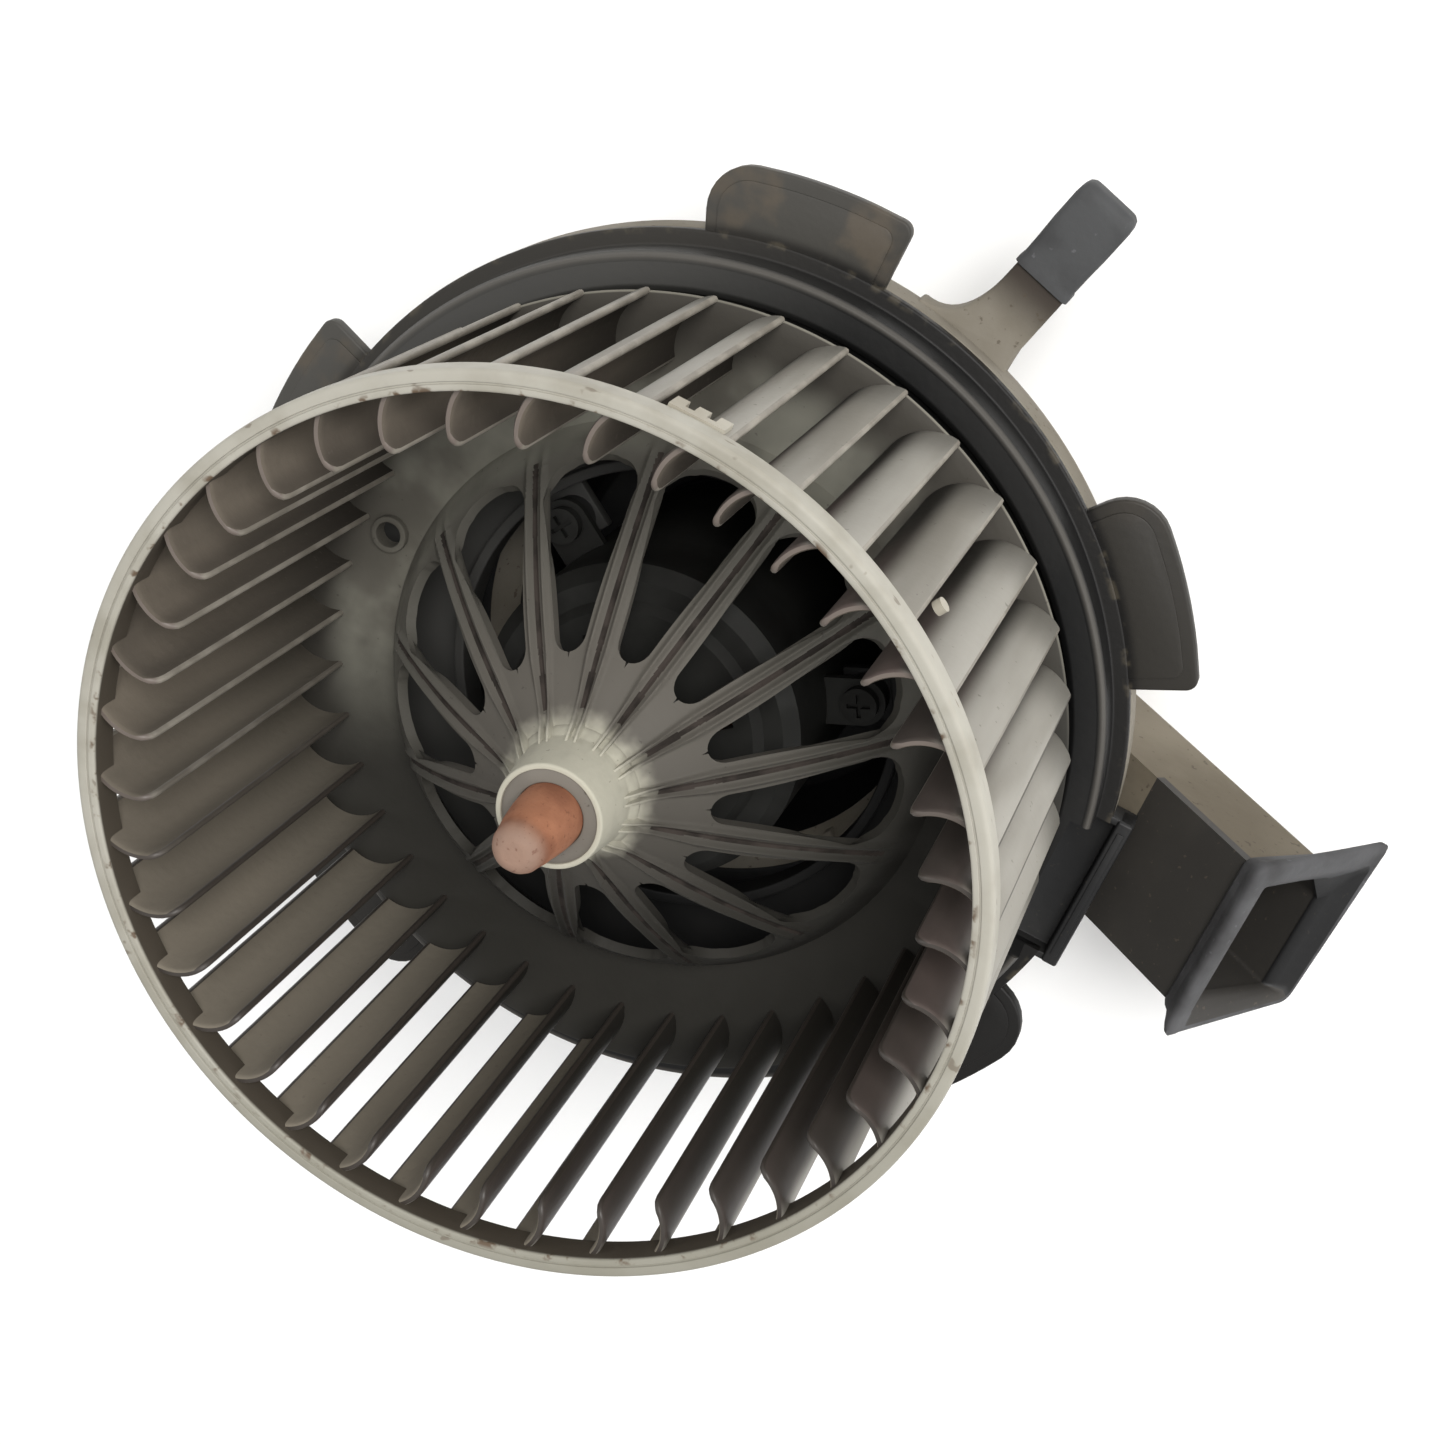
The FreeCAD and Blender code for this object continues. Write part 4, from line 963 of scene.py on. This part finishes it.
def rear_cover():
    """Dish and motor cup with a rolled rim, ribs and the stop arm."""
    corners = [
        (0.0, COVER_BACK_Z, 0.0), (34.0, COVER_BACK_Z, 0.3), (34.6, COVER_BACK_Z + 0.7, 0.2),
        (37.0, COVER_BACK_Z + 0.7, 0.2), (37.6, COVER_BACK_Z, 0.3), (CUP_R - 0.4, COVER_BACK_Z, 3.2),
        (CUP_R + 1.5, -24.0, 0.5), (48.5, -19.9, 2.5), (81.4, -12.4, 1.8), (FLANGE_R, COVER_RIM_Z, 0.9),
        (FLANGE_R, -2.1, 0.3), (81.5, -2.1, 0.2), (81.5, -8.2, 0.5), (80.0, -10.0, 0.5), (46.5, -17.4, 1.0),
        (CUP_R - 1.0, -23.0, 0.5), (CUP_R - 2.5, -45.8, 1.5), (CUP_R - 4.2, -47.5, 1.0), (0.0, -47.5, 0.0),
    ]

    def lined(r, z):
        """1 on the inner faces, which stay dark."""
        if r < CUP_R - 0.7:
            return 1 if z > COVER_BACK_Z + 1.5 else 0
        return 1 if r < FLANGE_R - 2.3 and z > -18.9 + (r - 47.0) * 0.224 else 0

    shell = lathe("cover", filleted(corners, 5), [COVER_DUSTY, POCKET_BLACK], 216, lined)
    gap = 0.05
    span = (POCKET_X[0] - 1.8 - gap, POCKET_WALL_X + gap)
    cut(shell, pocket_block("pocket_room", span, POCKET_WALL_HALF + gap, (-6.0 - gap, 2.0)))
    ribs = [cover_rib(angle) for angle in RIB_DEG]
    cover = joined("rear_housing", [shell, cover_arm()] + ribs)
    return piece(cover, "housing", ["rear_cover"], sharp=40)


def arm_sleeve():
    """Rubber cap over the arm's end: soft corners, a thin open lip and a slight swell."""
    low, high = SLEEVE_R
    half_y, half_z = 5.75, 3.5
    middle_z = (ARM_Z[0] + ARM_Z[1]) / 2
    stations = [
        (low, 0.90, 0.92), (low + 0.15, 1.0, 1.0), (low + 1.2, 1.0, 1.0), (low + 1.6, 0.965, 0.97),
        (low + 5.0, 0.97, 0.98), (low + 10.0, 1.0, 1.0), (high - 3.2, 1.0, 1.0), (high - 1.7, 0.975, 0.97),
        (high - 0.7, 0.91, 0.88), (high - 0.15, 0.80, 0.70), (high, 0.66, 0.45),
    ]
    rings = []
    for x, wide, deep in stations:
        y, z = half_y * wide, half_z * deep
        ring = filleted([(-y, -z, 1.5), (y, -z, 1.5), (y, z, 1.5), (-y, z, 1.5)], 6)
        rings.append(turned([(x, p.x, p.y + middle_z) for p in ring], ARM_DEG))
    sleeve = loft("arm_sleeve", rings, [SLEEVE_RUBBER], closed=False)
    return piece(sleeve, "housing", ["arm_rubber_sleeve"], sharp=60)


# ---- duct ----

def duct_point(station, y, z):
    """Point given along, across and out of the duct's front face."""
    spot = Matrix.Rotation(math.radians(-DUCT_TILT_DEG), 3, "Y") @ Vector((station, y, z))
    return DUCT_ROOT + Matrix.Rotation(math.radians(DUCT_TURN_DEG), 3, "Z") @ spot


def duct_ring(station, out, flare=0.0, chamfer=DUCT_CHAMFER, skew=0.0):
    """Duct outline at a station: out is the offset of its low-y, high-y, rear and front sides."""
    y_low, y_high = DUCT_Y[0] - out[0], DUCT_Y[1] + out[1]
    z_low, z_high = -DUCT_DEPTH - out[2], out[3]
    chamfer *= 1 + 0.057 * out[2]
    rear, front = 1.8 + 0.4 * out[2], 1.8 + 0.4 * out[3]
    outline = filleted([
        (y_low, z_high, front), (y_low, z_low, rear), (y_high - chamfer, z_low, 2.0),
        (y_high, z_low + chamfer, 2.0), (y_high, z_high, front),
    ], 6)
    proud = (Vector((y_low, z_high)), Vector((y_high - chamfer / 2, z_low + chamfer / 2)))
    centre = Vector(((y_low + y_high) / 2, -DUCT_DEPTH / 2))
    points = []
    for p in outline:
        lift = max(math.exp(-((p - corner).length / 4.2) ** 2) for corner in proud)
        away = (p - centre).normalized()
        spot = p + away * flare * lift
        points.append(duct_point(station + 0.5 * flare * lift, spot.x - skew * spot.y, spot.y))
    return points


def even(offset):
    return (offset, offset, offset, offset)


def duct_collar():
    """Rubber lip on the duct's mouth: a square, slightly skewed rim that stands proud at two corners."""
    section = [
        (25.6, even(0.15), 0.0, 7.0, 0.0), (25.6, even(0.9), 0.0, 7.0, 0.0),
        (26.2, even(1.3), 0.0, 7.0, 0.0), (27.2, even(1.5), 0.2, 6.0, 0.01),
        (27.9, even(1.9), 0.6, 3.5, 0.04), (28.6, even(2.3), 1.2, 1.6, 0.08),
        (29.3, even(2.6), 1.6, 1.2, 0.1), (30.1, even(2.6), 1.8, 1.2, 0.1),
        (30.6, even(2.1), 1.6, 1.2, 0.1), (30.7, (1.8, 0.8, 1.9, 1.0), 1.2, 1.2, 0.1),
        (30.5, (1.4, -1.4, 1.6, -1.0), 0.9, 1.2, 0.1), (29.6, (0.4, -3.0, 1.0, -2.6), 0.2, 1.6, 0.1),
        (28.4, (-1.4, -3.4, -0.8, -3.2), 0.0, 4.0, 0.04), (27.3, even(-2.3), 0.0, 7.0, 0.0),
        (26.5, even(-2.3), 0.0, 7.0, 0.0), (26.5, even(-2.1), 0.0, 7.0, 0.0),
        (27.05, even(-2.05), 0.0, 7.0, 0.0), (27.05, even(0.15), 0.0, 7.0, 0.0),
    ]
    rings = [duct_ring(*row) for row in section]

    def shaded_slope(row, k):
        """Painted shade: dark materials on the inner slope, right up to the rim on the low-y and rear
        sides.
        """
        if row < 10 or (row < 12 and not 4 <= k <= 22):
            return 0
        return 2 if 10 <= k <= 22 else 1

    collar = loft("duct_collar", rings, [COLLAR_RUBBER, DUCT_FRONT, POCKET_BLACK], pick=shaded_slope)
    return piece(collar, "housing", ["duct_seal_collar"], sharp=60)


def duct_inside():
    """Dark sheet of painted shade just inside the duct's walls."""
    rings = [duct_ring(station, even(-DUCT_WALL - 0.06)) for station in (-34.0, 0.0, 26.6)]
    shade_sheet = loft("duct_shade_sheet", rings, [DUCT_FRONT], closed=False)
    work = bmesh.new()
    work.from_mesh(shade_sheet.data)
    caps = [face for face in work.faces if len(face.verts) > 4]
    bmesh.ops.delete(work, geom=caps, context="FACES_ONLY")
    bmesh.ops.reverse_faces(work, faces=work.faces)
    work.to_mesh(shade_sheet.data)
    work.free()
    return piece(shade_sheet, "housing", sharp=40)


# ---- carried-over nodes ----

def dress_nodes():
    """Procedural materials on the nodes whose own shape shows."""
    can = metal_material("can_dark", (62, 62, 59), (44, 43, 40), 0.5, 0.5, 60.0)
    screw = metal_material("screw_dark", (64, 64, 61), (46, 45, 42), 0.5, 0.6)
    bell = metal_material("bell_zinc", (120, 120, 116), (90, 88, 84), 0.45)
    steel = metal_material("steel_bright", (168, 168, 166), (130, 126, 120), 0.3)
    copper = metal_material("copper_wire", (184, 104, 66), (140, 74, 46), 0.35, 0.9, 300.0)
    bronze = metal_material("bearing_bronze", (168, 126, 78), (120, 88, 54), 0.5)
    brass = metal_material("pressed_brass", (196, 164, 98), (150, 120, 70), 0.3)
    ferrite = moulded("ferrite", (58, 58, 60), (72, 71, 70), (40, 40, 40), 0.5, 0.7)
    card = moulded("phenolic_card", (96, 72, 52), (78, 58, 42), (50, 40, 30), 0.5, 0.6)
    black = moulded("plain_black", (40, 40, 41), (56, 55, 53), (86, 78, 68), 0.58, 0.5)
    nylon = moulded("nylon_washer", (206, 198, 172), (184, 172, 144), (120, 104, 80), 0.5, 0.5)
    carbon = moulded("carbon", (46, 46, 47), (58, 58, 58), (30, 30, 30), 0.5, 0.45)
    resin = moulded("dipped_resin", (178, 110, 58), (150, 90, 48), (96, 60, 34), 0.5, 0.3)
    laminate = metal_material("laminated_steel", (110, 110, 110), (80, 78, 76), 0.45, 0.8, 200.0)
    looks = (
        (CREAM_CLIP, "balance_clips"), (can, "motor_can"), (screw, "motor_screws"),
        (steel, "motor_shaft magnet_clips bearing_retainers brush_spring_a brush_spring_b cover_screws"),
        (laminate, "armature_core"), (bell, "motor_end_bell"),
        (copper, "armature_windings commutator suppression_chokes"),
        (nylon, "thrust_washers"), (ferrite, "motor_magnets"), (bronze, "front_bearing rear_bearing"),
        (card, "brush_plate"), (brass, "brush_holders connector_terminals"), (carbon, "brush_a brush_b"),
        (resin, "capacitor"), (black, "isolator_grommets connector_shell motor_leads"),
        (DUCT_FRONT, "duct_front_plate"), (DUCT_SIDE, "duct_rear_channel"),
    )
    softened = {
        "motor_can": 0.3, "duct_front_plate": 0.35, "duct_rear_channel": 0.6, "connector_shell": 0.3,
        "balance_clips": 0.2, "cover_screws": 0.15, "motor_screws": 0.15, "motor_end_bell": 0.3,
    }
    for material, name in ((material, name) for material, names in looks for name in names.split()):
        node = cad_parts[name]
        for holder in node.material_slots:
            holder.material = material
        if name in softened:
            edge = node.modifiers.new("edges", "BEVEL")
            edge.width = softened[name] * MM
            edge.segments = 2
            edge.limit_method = "ANGLE"
            edge.angle_limit = math.radians(38)


# ---- camera, floor and light ----

def add_light(name, spot, aim, size, watts, tint=(1.0, 1.0, 1.0)):
    data = bpy.data.lights.new(name, "AREA")
    data.shape = "DISK"
    data.size = size
    data.energy = watts
    data.color = tint
    light = bpy.data.objects.new(name, data)
    light.location = spot
    light.rotation_euler = (Vector(aim) - Vector(spot)).to_track_quat("-Z", "Y").to_euler()
    bpy.context.scene.collection.objects.link(light)


def add_stage():
    """Pale floor under the housing's back, a large soft key overhead and two fills."""
    half = 4.0
    z = COVER_BACK_Z * MM - 0.0002
    mesh = bpy.data.meshes.new("floor")
    corners = [(-half, -half, z), (half, -half, z), (half, half, z), (-half, half, z)]
    mesh.from_pydata(corners, [], [(0, 1, 2, 3)])
    paint = Paint("floor_white", 0.9, specular=0.1)
    grain = paint.noise(14.0, 3.0)
    paint.colour(paint.mix(grain, (0.92, 0.92, 0.915, 1.0), (0.955, 0.955, 0.955, 1.0)))
    mesh.materials.append(paint.material)
    floor = bpy.data.objects.new("floor", mesh)
    bpy.context.scene.collection.objects.link(floor)
    world = bpy.data.worlds.new("studio")
    world.use_nodes = True
    back = world.node_tree.nodes["Background"]
    back.inputs["Color"].default_value = (1.0, 1.0, 1.0, 1.0)
    back.inputs["Strength"].default_value = 0.55
    bpy.context.scene.world = world
    centre = (0.0, 0.0, 0.02)
    add_light("key", (0.25, 0.75, 1.15), centre, 0.7, 17.0, (1.0, 0.99, 0.97))
    add_light("right_fill", (1.1, 0.35, 0.55), centre, 0.8, 6.0)
    add_light("left_fill", (-1.0, -0.3, 0.8), centre, 0.9, 3.0)


def add_camera():
    """Camera above the intake, turned as the object lies in view."""
    right = Vector((0.8527, 0.4380, -0.2847))
    up = Vector((-0.5179, 0.7803, -0.3507))
    forward = Vector((-0.0686, -0.4465, -0.8922))
    data = bpy.data.cameras.new("camera")
    data.lens = 53.725
    data.sensor_width = 36.0
    data.shift_x = -0.0398
    data.clip_start = 0.01
    camera = bpy.data.objects.new("camera", data)
    turn = Matrix((right, up, -forward)).transposed()
    camera.matrix_world = Matrix.Translation(Vector((47.66, 182.95, 358.59)) * MM) @ turn.to_4x4()
    bpy.context.scene.collection.objects.link(camera)
    bpy.context.scene.camera = camera


add_camera()
add_stage()
wheel_blades()
intake_ring()
wheel_web()
wheel_hub()
hub_fins()
nose_cap()
mounting_flange()
rear_cover()
arm_sleeve()
duct_collar()
duct_inside()
dress_nodes()
bpy.context.scene.view_settings.view_transform = "Standard"

bpy.context.view_layer.update()
